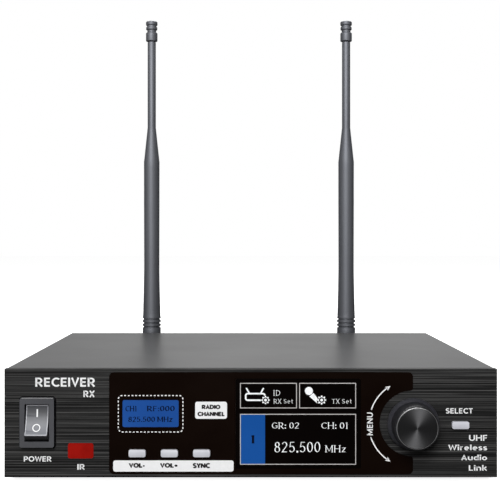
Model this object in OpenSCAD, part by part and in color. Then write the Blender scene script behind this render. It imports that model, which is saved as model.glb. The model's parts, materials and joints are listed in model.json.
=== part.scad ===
// Half-rack wireless microphone receiver with two hinged whip antennas.
// Frame: +Z up, front panel facing -Y, origin at the middle of the footprint on the table.

/* [Front panel] */
// Width of the front panel
panel_w = 210; // [205:1:220]
// Height of the front panel
panel_h = 46.2; // [46:0.1:50]
// Thickness of the front panel
panel_t = 4; // [3.5:0.1:5]
// Gloss overlay: left edge from the panel's middle
overlay_left = -60.3; // [-61:0.1:-59.8]
// Gloss overlay: right edge from the panel's middle
overlay_right = 69.1; // [68.5:0.1:70]
// Margin of bare panel above and below the overlay
overlay_margin = 1.4; // [1:0.1:2]
// Radius of the overlay's notch around the knob
notch_r = 14.1; // [13:0.1:15]

/* [Case] */
// Width of the sheet metal cover
case_w = 210; // [206:1:210]
// Depth from the panel's front face to the cover's rear edge
case_d = 165; // [160:1:200]
// Thickness of the sheet metal
sheet_t = 1.2; // [1:0.1:1.5]
// Gap below the panel, which the feet keep
foot_gap = 3; // [2:0.5:4]

/* [Controls] */
// Menu knob: place across the panel
knob_x = 69; // [68.5:0.1:70]
// Menu knob: height above the panel's lower edge
knob_z = 23; // [22:0.1:24]
// Menu knob: how far it stands out of the panel
knob_reach = 12; // [11:0.5:14]
// Menu knob: radius of its skirt
knob_r = 11; // [10:0.1:11.5]
// Travel of the push buttons
button_travel = 0.8; // [0.4:0.1:0.8]
// How far the push buttons stand out
button_proud = 1.5; // [1:0.1:2]
// Power switch: place across the panel
power_x = -90.8; // [-91:0.1:-90.5]
// Power switch: height above the panel's lower edge
power_z = 23.5; // [22:0.1:25]
// Swing of the power rocker between on and off
rocker_swing = 36; // [20:1:38]

/* [Antennas] */
// Distance of each antenna from the middle
antenna_x = 59.4; // [50:0.1:65]
// Distance of the antennas behind the panel's front face, over the case depth
antenna_back = 20; // [20:0.5:24]
// Length of an antenna above its hinge pin
antenna_len = 211.5; // [180:0.5:260]
// Radius of the antenna's base
antenna_r = 5.6; // [5.6:0.1:6]

/* [Hidden] */
$fn = 64;

// The whole depth runs from the knob's front to the back of the antennas' base.
hinge_y_from_face = case_d + antenna_back;
whole_depth = knob_reach + hinge_y_from_face + antenna_r;
face_y = knob_reach - whole_depth / 2;
cover_end_y = face_y + case_d;
rear_lip = 0.8;
rear_y = cover_end_y - rear_lip;
hinge_y = face_y + hinge_y_from_face;
socket_z = foot_gap + knob_z;
top_z = foot_gap + panel_h;
tray_z = foot_gap + 0.4;
floor_z = tray_z + sheet_t;
slide_gap = 0.1;

// Overlay, displays and buttons
overlay_t = 1;
pocket_d = 0.8;
overlay_corner_r = 2;
notch_corner_r = 1;
channel_lcd = [-42.7, 27.2, 24, 11.6];
channel_module = [34, 18];
main_lcd = [20.2, 22.95, 53.4, 38.3];
main_module = [58, 41.4];
lcd_recess = 0.2;
lcd_corner_r = 0.8;
ir_window_box = [-72.45, 11.35, 11, 6.6];
button_size = [7.2, 3.1];
button_corner_r = 0.8;
button_z = 10.45;
button_xs = [-48.3, -34.6, -20.9];
select_at = [89.2, 22.4];
flange_rim = 0.8;
flange_t = 1;
plunger_r = 1.6;
plunger_len = 1.8;
board_gap = 6.5;
board_y = panel_t + board_gap;
board_t = 1.6;
tact_h = 4.3;
tact_size = 6;
plunger_end = panel_t + slide_gap + flange_t + plunger_len;
tact_well_d = plunger_end - (board_y - tact_h) + button_travel + 0.5;

// Power switch: a snap-in rocker switch
bezel = [14.6, 20.9, 2];
switch_body = [13, 19, 17];
rocker_well = [10.4, 16, 8];
rocker_side_gap = 0.4;
rocker_w = rocker_well[0] - 2 * rocker_side_gap;
rocker_r = 7.85;
rocker_pivot_y = 1.5;
rocker_tip_a = rocker_swing / 2 + 15;
rocker_back = 3;
rocker_valley = rocker_r * sin(rocker_tip_a) - 1.1;
trunnion_r = 1.2;
trunnion_reach = 5.9;

// Encoder and knob
bushing_r = 3.5;
bushing_reach = 3;
shaft_r = 3;
shaft_gap = 0.05;
cap_r = 8.8;
cap_t = 1.8;
knob_gap = 1;
skirt_slope_w = 1.5;

// Case hardware, as distances behind the panel's front face
foot_ys = [25, 145];
foot_x = 85;
foot_r = 8;
cover_screw_ys = [30, 85, 140];
cover_screw_z = tray_z + 5.4;
flange_h = 9.4;
tab_w = 4.2;
tab_top = 40;
tab_screw_zs = [17, 36];
insert_ys = [18, 38];
insert_bore_r = 1.65;
insert_r = 2.85;
insert_len = 6.2;
m25_r = 1.2;
screw_x = case_w / 2 - sheet_t - tab_w / 2 - 0.1;

// Rear connectors
xlr_x = -14;
jack_x = 24;
dc_x = 86;
xlr_flange = [26, 31, 2];
xlr_bore_r = 9.45;
xlr_wall = 1.6;
xlr_depth = 16;
xlr_pin_circle_r = 5;
xlr_screw_at = [9.5, 12];
jack_bore_r = 3.25;
jack_thread_r = 4.5;
jack_reach = 4;
jack_bore_len = 28;

// Antenna socket and hinge, as distances behind the rear panel
barrel_r = 4.75;
barrel_len = 11;
lug_y = 8.4;
lug_r = 1;
ring_r = 7.2;
ring_start = 3;
ring_end = 13.2;
ring_wall_start = 11.85;
ring_wall_bore_r = 4.3;
groove_r = 6.1;
groove_w = 2.4;
swivel_start = 13.35;
swivel_plate_t = 1.25;
swivel_r = 6.6;
ear_slot = 4.8;
tongue_t = 4.6;
tongue_r = 5;
pin_r = 1.5;
shoulder_z = 6.2;
rod_r = 1;

// ---- Helpers -------------------------------------------------------------

function arc(cx, cy, r, a0, a1, n) =
    [for (i = [0:n]) let (a = a0 + (a1 - a0) * i / n) [cx + r * cos(a), cy + r * sin(a)]];

function rounded_outline(w, h, r) = concat(
    arc(w / 2 - r, h / 2 - r, r, 0, 90, 6),
    arc(-w / 2 + r, h / 2 - r, r, 90, 180, 6),
    arc(-w / 2 + r, -h / 2 + r, r, 180, 270, 6),
    arc(w / 2 - r, -h / 2 + r, r, 270, 360, 6));

// A point on the front face: x from the middle, z above the panel's lower edge
module on_front(x, z, y = 0) {
    translate([x, face_y + y, foot_gap + z]) children();
}

// A cylinder that runs towards +Y from the origin
module rod_y(r, length) {
    rotate([-90, 0, 0]) cylinder(r = r, h = length);
}

// A cylinder that runs towards +X from the origin
module rod_x(r, length) {
    rotate([0, 90, 0]) cylinder(r = r, h = length);
}

// A revolved outline about the Y axis, given as [radius, y] points
module lathe_y(points) {
    rotate([-90, 0, 0]) rotate_extrude() polygon(points);
}

// A plate in the XZ plane with its front at y = 0
module plate_y(w, h, t, r) {
    rotate([90, 0, 0]) translate([0, 0, -t]) linear_extrude(t) polygon(rounded_outline(w, h, r));
}

// A plain block given by its lowest corner and its size
module block(low, size) {
    translate(low) cube(size);
}

module both_sides() {
    children();
    mirror([1, 0, 0]) children();
}

// Seat of a fixing screw of the XLR connector on the rear panel
function xlr_screw(s) = [xlr_x + s * xlr_screw_at[0], rear_y, socket_z + s * xlr_screw_at[1]];

// ---- Front ---------------------------------------------------------------

function overlay_outline(g) =
    let (x0 = overlay_left - g, x1 = overlay_right + g,
         z0 = overlay_margin - g, z1 = panel_h - overlay_margin + g,
         r = overlay_corner_r, f = notch_corner_r, n_r = notch_r - g,
         dx = knob_x - (x1 - f), dz = sqrt(pow(n_r + f, 2) - dx * dx), lean = atan2(dx, dz))
    concat(arc(x0 + r, z0 + r, r, 180, 270, 8),
           arc(x1 - r, z0 + r, r, 270, 360, 8),
           arc(x1 - f, knob_z - dz, f, 0, 90 - lean, 6),
           arc(knob_x, knob_z, n_r, 270 - lean, 90 + lean, 40),
           arc(x1 - f, knob_z + dz, f, lean - 90, 0, 6),
           arc(x1 - r, z1 - r, r, 0, 90, 8),
           arc(x0 + r, z1 - r, r, 90, 180, 8));

module overlay_slab(g, y0, y1) {
    translate([0, face_y + y1, foot_gap]) rotate([90, 0, 0])
        linear_extrude(y1 - y0) polygon(overlay_outline(g));
}

module through_cut(x, z, w, h, r) {
    on_front(x, z, -2) plate_y(w, h, panel_t + 4, r);
}

module button_cuts() {
    for (x = button_xs)
        through_cut(x, button_z, button_size[0] + 2 * slide_gap, button_size[1] + 2 * slide_gap,
                    button_corner_r + slide_gap);
}

module display_cuts() {
    for (d = [channel_lcd, main_lcd]) through_cut(d[0], d[1], d[2], d[3], lcd_corner_r);
}

module front_panel() {
    color([0.16, 0.16, 0.16]) difference() {
        block([-panel_w / 2, face_y, foot_gap], [panel_w, panel_t, panel_h]);
        overlay_slab(0.05, -1, pocket_d);
        button_cuts();
        display_cuts();
        through_cut(select_at[0], select_at[1], button_size[0] + 2 * slide_gap,
                    button_size[1] + 2 * slide_gap, button_corner_r + slide_gap);
        through_cut(ir_window_box[0], ir_window_box[1], ir_window_box[2], ir_window_box[3], 1);
        through_cut(power_x, power_z, switch_body[0] + 0.1, switch_body[1] + 0.1, 0.5);
        on_front(knob_x, knob_z, -1) rod_y(bushing_r + 0.1, panel_t + 2);
        both_sides() for (z = tab_screw_zs)
            translate([screw_x, face_y + 1, z]) rod_y(m25_r, panel_t);
    }
}

module front_overlay() {
    color([0.05, 0.03, 0.03]) difference() {
        overlay_slab(0, pocket_d - overlay_t, pocket_d);
        button_cuts();
        display_cuts();
    }
}

module display_glass(d) {
    on_front(d[0], d[1], pocket_d - overlay_t + lcd_recess)
        plate_y(d[2] - 0.1, d[3] - 0.1, panel_t - pocket_d + overlay_t - lcd_recess, lcd_corner_r);
}

module channel_display() {
    color([0.12, 0.3, 0.65]) display_glass(channel_lcd);
}

module main_display() {
    color([0.05, 0.04, 0.04]) display_glass(main_lcd);
}

module display_module(d, size) {
    on_front(d[0], d[1], panel_t) plate_y(size[0], size[1], board_gap, 0.6);
}

module display_modules() {
    color([0.55, 0.57, 0.58]) union() {
        display_module(channel_lcd, channel_module);
        display_module(main_lcd, main_module);
    }
}

module ir_window() {
    w = ir_window_box;
    color([0.6, 0.08, 0.07]) union() {
        on_front(w[0], w[1], -0.2) plate_y(w[2] - 0.1, w[3] - 0.1, panel_t + 0.7, 0.95);
        on_front(w[0], w[1], panel_t) plate_y(w[2] + 2, w[3] + 2, 1, 1.5);
    }
}

module ir_emitter() {
    color([0.2, 0.18, 0.25]) on_front(ir_window_box[0], ir_window_box[1], panel_t + 1.6)
        union() {
            rod_y(2.5, board_gap - 1.6);
            translate([0, 3.4, 0]) rod_y(2.9, board_gap - 5);
        }
}

// ---- Case ----------------------------------------------------------------

// Half width of the space inside the cover
inner_half = case_w / 2 - sheet_t;

module top_cover() {
    bend_r = 0.8;
    half = case_w / 2;
    outline = concat([[half, 0]], arc(half - bend_r, top_z - tray_z - bend_r, bend_r, 0, 90, 8),
        arc(bend_r - half, top_z - tray_z - bend_r, bend_r, 90, 180, 8), [[-half, 0]],
        [[-inner_half, 0], [-inner_half, top_z - tray_z - sheet_t],
         [inner_half, top_z - tray_z - sheet_t], [inner_half, 0]]);
    color([0.45, 0.45, 0.45]) difference() {
        translate([0, cover_end_y, tray_z]) rotate([90, 0, 0])
            linear_extrude(case_d - panel_t) polygon(outline);
        both_sides() {
            for (y = cover_screw_ys)
                translate([inner_half - 1, face_y + y, cover_screw_z]) rod_x(1.6, sheet_t + 2);
            for (y = insert_ys)
                translate([inner_half - 1, face_y + y, socket_z]) rod_x(insert_r + 0.05, sheet_t + 2);
        }
    }
}

module tray_side() {
    x1 = inner_half - 0.1;
    y0 = face_y + panel_t;
    y1 = rear_y - sheet_t;
    block([x1 - sheet_t, y0, tray_z], [sheet_t, y1 - y0, flange_h + sheet_t]);
    block([x1 - tab_w, y0, tray_z], [tab_w, sheet_t, tab_top]);
    block([x1 - tab_w, y1 - sheet_t, tray_z], [tab_w, sheet_t, tab_top]);
}

module base_tray() {
    x1 = inner_half - 0.1;
    y0 = face_y + panel_t;
    y1 = rear_y - sheet_t;
    color([0.6, 0.6, 0.6]) difference() {
        union() {
            block([-x1, y0, tray_z], [2 * x1, y1 - y0, sheet_t]);
            both_sides() tray_side();
        }
        both_sides() {
            for (y = cover_screw_ys)
                translate([x1 - 5, face_y + y, cover_screw_z]) rod_x(1.3, 10);
            for (y = foot_ys)
                translate([foot_x, face_y + y, tray_z - 1]) cylinder(r = 1.6, h = 4);
            for (z = tab_screw_zs) {
                translate([screw_x, y0 - 1, z]) rod_y(m25_r + 0.05, 4);
                translate([screw_x, y1 - 3, z]) rod_y(m25_r + 0.05, 4);
            }
        }
    }
}

module rear_panel() {
    color([0.2, 0.2, 0.2]) difference() {
        block([-inner_half + 0.1, rear_y - sheet_t, floor_z - 0.6],
              [2 * inner_half - 0.2, sheet_t, top_z - sheet_t - floor_z + 0.5]);
        translate([xlr_x, rear_y - 2, socket_z]) rod_y(xlr_bore_r + xlr_wall + 0.05, 4);
        translate([jack_x, rear_y - 2, socket_z]) rod_y(jack_thread_r + 0.05, 4);
        translate([dc_x, rear_y - 2, socket_z]) rod_y(4.05, 4);
        for (s = [-1, 1]) translate(xlr_screw(s) - [0, 2, 0]) rod_y(m25_r + 0.05, 4);
        both_sides() {
            translate([antenna_x, rear_y - 2, socket_z]) rod_y(barrel_r + 0.05, 4);
            for (z = tab_screw_zs) translate([screw_x, rear_y - 2, z]) rod_y(m25_r + 0.05, 4);
        }
    }
}

module rubber_feet() {
    color([0.1, 0.1, 0.1]) both_sides() for (y = foot_ys)
        translate([foot_x, face_y + y, 0]) difference() {
            union() {
                cylinder(r1 = foot_r - 0.8, r2 = foot_r, h = 1.2);
                translate([0, 0, 1.2]) cylinder(r = foot_r, h = tray_z - 1.2);
            }
            translate([0, 0, -1]) cylinder(r = 3.4, h = 3);
            translate([0, 0, -1]) cylinder(r = 1.6, h = 8);
        }
}

module foot_screws() {
    color([0.75, 0.75, 0.75]) both_sides() for (y = foot_ys)
        translate([foot_x, face_y + y, 0.4]) union() {
            cylinder(r = 3, h = 1.6);
            cylinder(r = 1.5, h = 8);
        }
}

module cover_screws() {
    color([0.12, 0.12, 0.12]) both_sides() for (y = cover_screw_ys)
        translate([case_w / 2, face_y + y, cover_screw_z]) difference() {
            union() {
                rod_x(2.8, 0.9);
                translate([-6, 0, 0]) rod_x(1.25, 6.5);
            }
            translate([0.4, -1.6, -0.3]) cube([1, 3.2, 0.6]);
            translate([0.4, -0.3, -1.6]) cube([1, 0.6, 3.2]);
        }
}

module panel_screws() {
    color([0.75, 0.75, 0.75]) both_sides() for (z = tab_screw_zs)
        translate([screw_x, face_y + panel_t + sheet_t, z]) union() {
            translate([0, -4, 0]) rod_y(m25_r - 0.05, 4.5);
            rod_y(2, 1.6);
        }
}

// A cross-head screw in the rear panel, with its head's seat at y = 0
module rear_screw(head_r) {
    difference() {
        union() {
            translate([0, -6, 0]) rod_y(m25_r, 6.5);
            rod_y(head_r, 1.3);
        }
        translate([-1.2, 0.6, -0.25]) cube([2.4, 1, 0.5]);
        translate([-0.25, 0.6, -1.2]) cube([0.5, 1, 2.4]);
    }
}

module rear_panel_screws() {
    color([0.12, 0.12, 0.12]) union() {
        both_sides() for (z = tab_screw_zs) translate([screw_x, rear_y, z]) rear_screw(2);
        for (s = [-1, 1]) translate(xlr_screw(s) + [0, xlr_flange[2], 0]) rear_screw(2.4);
    }
}

// Threaded inserts for rack ears, pressed into the cover's sides
module rack_ear_inserts() {
    color([0.8, 0.72, 0.45]) both_sides() for (y = insert_ys)
        translate([case_w / 2, face_y + y, socket_z]) difference() {
            union() {
                rod_x(3.9, 0.4);
                translate([0.2 - insert_len, 0, 0]) rod_x(insert_r, insert_len);
            }
            translate([-insert_len - 1, 0, 0]) rod_x(insert_bore_r, insert_len + 3);
        }
}

// ---- Power switch --------------------------------------------------------

module power_switch_body() {
    color([0.22, 0.22, 0.24]) on_front(power_x, power_z) difference() {
        union() {
            translate([0, -bezel[2], 0]) plate_y(bezel[0], bezel[1], bezel[2], 0.9);
            translate([0, -1, 0]) plate_y(switch_body[0], switch_body[1], switch_body[2] + 1, 0.5);
        }
        translate([0, -bezel[2] - 1, 0])
            plate_y(rocker_well[0], rocker_well[1], rocker_well[2] + bezel[2] + 1, 0.3);
        translate([-trunnion_reach - 0.1, rocker_pivot_y, 0])
            rod_x(trunnion_r + 0.05, 2 * trunnion_reach + 0.2);
        for (z = [-5.4, 5.4]) translate([-2.5, switch_body[2] - 2, z - 0.45]) cube([5, 4, 0.9]);
    }
}

module power_switch_terminals() {
    color([0.8, 0.76, 0.6]) on_front(power_x, power_z) for (z = [-5.4, 5.4])
        difference() {
            translate([-2.4, switch_body[2] - 2, z - 0.4]) cube([4.8, 9, 0.8]);
            translate([0, switch_body[2] + 4.5, z - 2]) cylinder(r = 0.9, h = 4);
        }
}

// Side view of the rocker about its pivot: forward is +x here, up is +y
function rocker_outline() =
    let (tip = [rocker_r * cos(rocker_tip_a), rocker_r * sin(rocker_tip_a)],
         dip = tip[1] - rocker_valley,
         face_r = (tip[0] * tip[0] + dip * dip) / (2 * dip),
         face_c = rocker_valley + face_r,
         half_a = asin(tip[0] / face_r),
         back_a = asin(rocker_back / rocker_r))
    concat([for (p = arc(0, 0, rocker_r, -back_a, rocker_tip_a, 10)) [p[1], p[0]]],
           [for (p = arc(0, face_c, face_r, 270 + half_a, 270 - half_a, 16)) [p[1], p[0]]],
           [for (p = arc(0, 0, rocker_r, 180 - rocker_tip_a, 180 + back_a, 10)) [p[1], p[0]]]);

module power_rocker() {
    color([0.35, 0.36, 0.39]) on_front(power_x, power_z, rocker_pivot_y)
        rotate([-rocker_swing / 2, 0, 0]) union() {
            // The outline's forward axis is turned to -Y and its up axis to +Z.
            multmatrix([[0, 0, 1, -rocker_w / 2], [-1, 0, 0, 0], [0, 1, 0, 0], [0, 0, 0, 1]])
                linear_extrude(rocker_w) polygon(rocker_outline());
            translate([-trunnion_reach, 0, 0]) rod_x(trunnion_r, 2 * trunnion_reach);
        }
}

// ---- Buttons and boards --------------------------------------------------

module push_button(x, z) {
    w = button_size[0];
    h = button_size[1];
    color([0.78, 0.78, 0.82]) on_front(x, z) union() {
        translate([0, -button_proud, 0])
            plate_y(w, h, button_proud + panel_t + slide_gap + 0.5, button_corner_r);
        translate([0, panel_t + slide_gap, 0])
            plate_y(w + 2 * flange_rim, h + 2 * flange_rim, flange_t, button_corner_r + flange_rim);
        translate([0, panel_t + slide_gap + 0.5, 0]) rod_y(plunger_r, flange_t - 0.5 + plunger_len);
    }
}

module volume_down_button() {
    push_button(button_xs[0], button_z);
}

module volume_up_button() {
    push_button(button_xs[1], button_z);
}

module sync_button() {
    push_button(button_xs[2], button_z);
}

module select_button() {
    push_button(select_at[0], select_at[1]);
}

display_board_x = [-82, 98];
display_board_z = [2.6, 43.6];
function display_pillar_spots() =
    [[-78, 39], [-62.2, 6], [-16, 39], [-12.6, 6], [55, 39], [55, 7], [94, 39], [94, 7]];

module display_board() {
    color([0.05, 0.3, 0.15]) difference() {
        on_front(display_board_x[0], display_board_z[0], board_y)
            cube([display_board_x[1] - display_board_x[0], board_t,
                  display_board_z[1] - display_board_z[0]]);
        for (p = display_pillar_spots()) on_front(p[0], p[1], board_y - 1) rod_y(1.3, 4);
    }
}

module display_board_pillars() {
    color([0.8, 0.72, 0.45]) for (p = display_pillar_spots())
        on_front(p[0], p[1], panel_t) difference() {
            rotate([-90, 0, 0]) cylinder(r = 2.6, h = board_gap, $fn = 6);
            translate([0, 1.5, 0]) rod_y(1.25, board_gap);
        }
}

module display_board_screws() {
    color([0.75, 0.75, 0.75]) for (p = display_pillar_spots())
        on_front(p[0], p[1], board_y) union() {
            translate([0, -4, 0]) rod_y(1.2, 4.5 + board_t);
            translate([0, board_t, 0]) rod_y(2.3, 1.6);
        }
}

module tact_switch(x, z) {
    on_front(x, z, board_y - tact_h) difference() {
        translate([-tact_size / 2, 0, -tact_size / 2]) cube([tact_size, tact_h, tact_size]);
        translate([0, -1, 0]) rod_y(plunger_r + slide_gap, tact_well_d + 1);
    }
}

module tact_switches() {
    color([0.1, 0.1, 0.1]) union() {
        for (x = button_xs) tact_switch(x, button_z);
        tact_switch(select_at[0], select_at[1]);
    }
}

module encoder_body() {
    color([0.6, 0.6, 0.62]) on_front(knob_x, knob_z) difference() {
        union() {
            translate([-6.2, panel_t, -6.6]) cube([12.4, board_gap, 13.2]);
            translate([0, -bushing_reach, 0]) rod_y(bushing_r, bushing_reach + panel_t + 1);
        }
        translate([0, -bushing_reach - 1, 0]) rod_y(shaft_r + shaft_gap, bushing_reach + panel_t + 5);
    }
}

module encoder_nut() {
    color([0.75, 0.75, 0.77]) on_front(knob_x, knob_z) difference() {
        union() {
            translate([0, -0.6, 0]) rod_y(5.9, 0.6);
            translate([0, -2.6, 0]) rotate([-90, 30, 0]) cylinder(r = 5.75, h = 2.2, $fn = 6);
        }
        translate([0, -4, 0]) rod_y(bushing_r + 0.05, 5);
    }
}

module encoder_shaft() {
    shaft_front = knob_reach - cap_t - 0.6;
    color([0.8, 0.8, 0.8]) on_front(knob_x, knob_z) difference() {
        translate([0, -shaft_front, 0]) rod_y(shaft_r, shaft_front + panel_t + 3);
        translate([-4, -shaft_front - 1, 1.6]) cube([8, shaft_front - 3.6, 4]);
    }
}

module menu_knob() {
    rim_y = -knob_reach + 0.8;
    seat_y = -knob_reach + cap_t;
    color([0.09, 0.09, 0.1]) on_front(knob_x, knob_z) lathe_y([
        [knob_r - 0.4, -knob_gap], [knob_r, -knob_gap - 0.4], [knob_r, -knob_gap - 1],
        [knob_r - skirt_slope_w, -knob_gap - 2.6],
        [cap_r + 0.5, rim_y + 0.3], [cap_r + 0.2, rim_y], [cap_r + 0.05, rim_y],
        [cap_r + 0.05, seat_y], [shaft_r + 0.02, seat_y], [shaft_r + 0.02, -4],
        [6.6, -4], [6.6, -knob_gap]]);
}

module menu_knob_cap() {
    back_y = -knob_reach + cap_t;
    color([0.25, 0.25, 0.26]) on_front(knob_x, knob_z) lathe_y([
        [0, back_y], [cap_r, back_y], [cap_r, -knob_reach + 0.5],
        [cap_r - 0.5, -knob_reach], [0, -knob_reach]]);
}

// ---- Inside --------------------------------------------------------------

main_board_size = [150, 112, 1.6];
main_board_low = [-70, face_y + 32, floor_z + 6];
board_top = main_board_low[2] + main_board_size[2];

function main_pillar_spots() =
    [for (x = [4, main_board_size[0] - 4]) for (y = [4, main_board_size[1] - 4])
        [main_board_low[0] + x, main_board_low[1] + y]];

module main_board() {
    color([0.05, 0.3, 0.15]) difference() {
        block(main_board_low, main_board_size);
        for (p = main_pillar_spots())
            translate([p[0], p[1], main_board_low[2] - 1]) cylinder(r = 1.6, h = 4);
    }
}

module main_board_pillars() {
    color([0.8, 0.72, 0.45]) for (p = main_pillar_spots())
        translate([p[0], p[1], floor_z]) difference() {
            cylinder(r = 2.9, h = 6, $fn = 6);
            translate([0, 0, 1]) cylinder(r = 1.45, h = 6);
        }
}

module main_board_screws() {
    color([0.75, 0.75, 0.75]) for (p = main_pillar_spots())
        translate([p[0], p[1], board_top]) union() {
            translate([0, 0, -5]) cylinder(r = 1.4, h = 5.5);
            cylinder(r = 2.7, h = 1.8);
        }
}

// Two tin boxes over the tuners, open towards the board
module rf_shield_cans() {
    can = [34, 42, 9];
    wall = 0.5;
    color([0.75, 0.76, 0.78]) for (x = [-62, 22])
        translate([x, main_board_low[1] + 58, board_top]) difference() {
            cube(can);
            translate([wall, wall, -1]) cube([can[0] - 2 * wall, can[1] - 2 * wall, can[2] - wall + 1]);
        }
}

module board_components() {
    y0 = main_board_low[1];
    color([0.12, 0.12, 0.13]) union() {
        for (x = [-50, -20, 12, 42]) block([x, y0 + 30, board_top], [12, 12, 1.8]);
        for (x = [-10, 4]) block([x, y0 + 66, board_top], [7, 9, 2]);
        for (x = [-60, -48, -36]) translate([x, y0 + 16, board_top]) cylinder(r = 4, h = 11);
        for (x = [62, 72]) translate([x, y0 + 22, board_top]) cylinder(r = 3.2, h = 9);
        block([-12, y0 + 2, board_top], [24, 5, 6]);
    }
}

// The ribbon leaves the display board, drops and ends at the header on the main board.
module display_ribbon() {
    back_y = face_y + board_y + board_t;
    color([0.75, 0.75, 0.75]) union() {
        block([-10, back_y, board_top + 8], [20, 22.5, 0.8]);
        block([-10, back_y + 21.7, board_top + 6], [20, 0.8, 2.8]);
    }
}

// A wire that runs along Y from the origin, then turns down
module lead(r, straight, bend, drop) {
    union() {
        rod_y(r, straight);
        translate([0, straight, -bend]) rotate([90, 0, 90]) rotate_extrude(angle = 90)
            translate([bend, 0]) circle(r = r);
        translate([0, straight + bend, -bend - drop]) cylinder(r = r, h = drop);
    }
}

module switch_leads() {
    tab_end = switch_body[2] + 7;
    color([0.6, 0.1, 0.1]) for (side = [-1, 1]) {
        z0 = foot_gap + power_z + side * 5.4;
        translate([power_x + 2 * side, face_y + tab_end, z0]) lead(0.9, 4, 5, z0 - 5 - floor_z - 2.4);
    }
    color([0.85, 0.85, 0.8]) block([power_x - 5, face_y + tab_end + 6, floor_z], [10, 6, 2.4]);
}

module coax_leads() {
    color([0.15, 0.15, 0.15]) both_sides()
        translate([antenna_x, rear_y - 12, socket_z]) mirror([0, 1, 0])
            lead(1.5, 1.5, 6, socket_z - 6 - board_top);
}

// ---- Rear connectors -----------------------------------------------------

module at_rear(x) {
    translate([x, rear_y, socket_z]) children();
}

module xlr_shell() {
    r = xlr_bore_r + xlr_wall;
    color([0.12, 0.12, 0.12]) at_rear(xlr_x) difference() {
        union() {
            plate_y(xlr_flange[0], xlr_flange[1], xlr_flange[2], 3);
            translate([0, -xlr_depth, 0]) rod_y(r, xlr_depth + 1);
        }
        translate([0, -xlr_depth - 1, 0]) rod_y(xlr_bore_r, xlr_depth + 5);
        for (s = [-1, 1]) translate([s * xlr_screw_at[0], -1, s * xlr_screw_at[1]]) rod_y(m25_r + 0.2, 5);
    }
}

module xlr_insert() {
    color([0.1, 0.1, 0.1]) at_rear(xlr_x) difference() {
        translate([0, -xlr_depth, 0]) rod_y(xlr_bore_r, 2.5);
        for (a = [90, 210, 330])
            translate([xlr_pin_circle_r * cos(a), -xlr_depth - 1, -xlr_pin_circle_r * sin(a)])
                rod_y(1.2, 5);
    }
}

module xlr_pins() {
    color([0.8, 0.75, 0.55]) at_rear(xlr_x) for (a = [90, 210, 330])
        translate([xlr_pin_circle_r * cos(a), -xlr_depth - 4, -xlr_pin_circle_r * sin(a)])
            rod_y(1.2, xlr_depth + 1);
}

module jack_output() {
    color([0.12, 0.12, 0.12]) at_rear(jack_x) difference() {
        union() {
            translate([-8, -sheet_t - 27, -8]) cube([16, 27, 16]);
            translate([0, -3, 0]) rod_y(jack_thread_r, 3 + jack_reach);
        }
        translate([0, jack_reach - jack_bore_len, 0]) rod_y(jack_bore_r, jack_bore_len + 1);
    }
}

module jack_nut() {
    color([0.75, 0.75, 0.77]) at_rear(jack_x) difference() {
        union() {
            rod_y(7.4, 0.6);
            translate([0, 0.4, 0]) rotate([-90, 30, 0]) cylinder(r = 6.9, h = 2.2, $fn = 6);
        }
        translate([0, -1, 0]) rod_y(jack_thread_r + 0.05, 5);
    }
}

// Barrel inlet: the centre pin stands in the bore
module dc_inlet() {
    color([0.1, 0.1, 0.1]) at_rear(dc_x) union() {
        difference() {
            union() {
                translate([-4.5, -sheet_t - 13, -5.5]) cube([9, 13, 11]);
                translate([0, -2, 0]) rod_y(4, 3);
            }
            translate([0, -9, 0]) rod_y(2.8, 12);
        }
        translate([0, -10, 0]) rod_y(1, 9.6);
    }
}

module antenna_socket() {
    at_rear(antenna_x) difference() {
        union() {
            translate([0, -12, 0]) rod_y(barrel_r, 12 + barrel_len);
            translate([0, -sheet_t - 2, 0]) rod_y(6.8, 2);
            for (s = [-1, 1]) translate([s * 5 - 1, lug_y, 0]) rod_x(lug_r - 0.1, 2);
        }
        translate([0, barrel_len - 7, 0]) rod_y(3.2, 8);
    }
}

module antenna_sockets() {
    color([0.78, 0.78, 0.76]) both_sides() antenna_socket();
}

module antenna_socket_nuts() {
    color([0.78, 0.78, 0.76]) both_sides() at_rear(antenna_x) difference() {
        union() {
            rod_y(7.6, 0.6);
            translate([0, 0.4, 0]) rotate([-90, 30, 0]) cylinder(r = 7.3, h = 2.2, $fn = 6);
        }
        translate([0, -1, 0]) rod_y(barrel_r + 0.05, 5);
    }
}

// ---- Antennas ------------------------------------------------------------

// Bayonet ring: the socket's lugs run in its quarter-turn grooves
module coupling_ring(x) {
    play_a = 14;
    color([0.72, 0.72, 0.7]) at_rear(x) difference() {
        union() {
            translate([0, ring_start, 0]) rod_y(ring_r - 0.4, ring_end - ring_start);
            for (y = [ring_start, 9.9]) translate([0, y, 0]) rod_y(ring_r, 3.3);
        }
        translate([0, ring_start - 1, 0]) rod_y(barrel_r + 0.1, ring_wall_start - ring_start + 1);
        rod_y(ring_wall_bore_r, 20);
        for (turn = [0, 180]) rotate([0, turn, 0]) {
            translate([0, lug_y - groove_w / 2, 0]) rotate([-90, 0, 0])
                rotate([0, 0, -90 - play_a]) rotate_extrude(angle = 90 + 2 * play_a)
                    translate([4, 0]) square([groove_r - 4, groove_w]);
            translate([-groove_w / 2, ring_start - 1, 3])
                cube([groove_w, lug_y - ring_start + 1, groove_r - 3]);
            translate([4, lug_y, 0]) rod_x(lug_r + 0.2, 5);
        }
    }
}

module coupling_ring_left() {
    coupling_ring(-antenna_x);
}

module coupling_ring_right() {
    coupling_ring(antenna_x);
}

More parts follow.
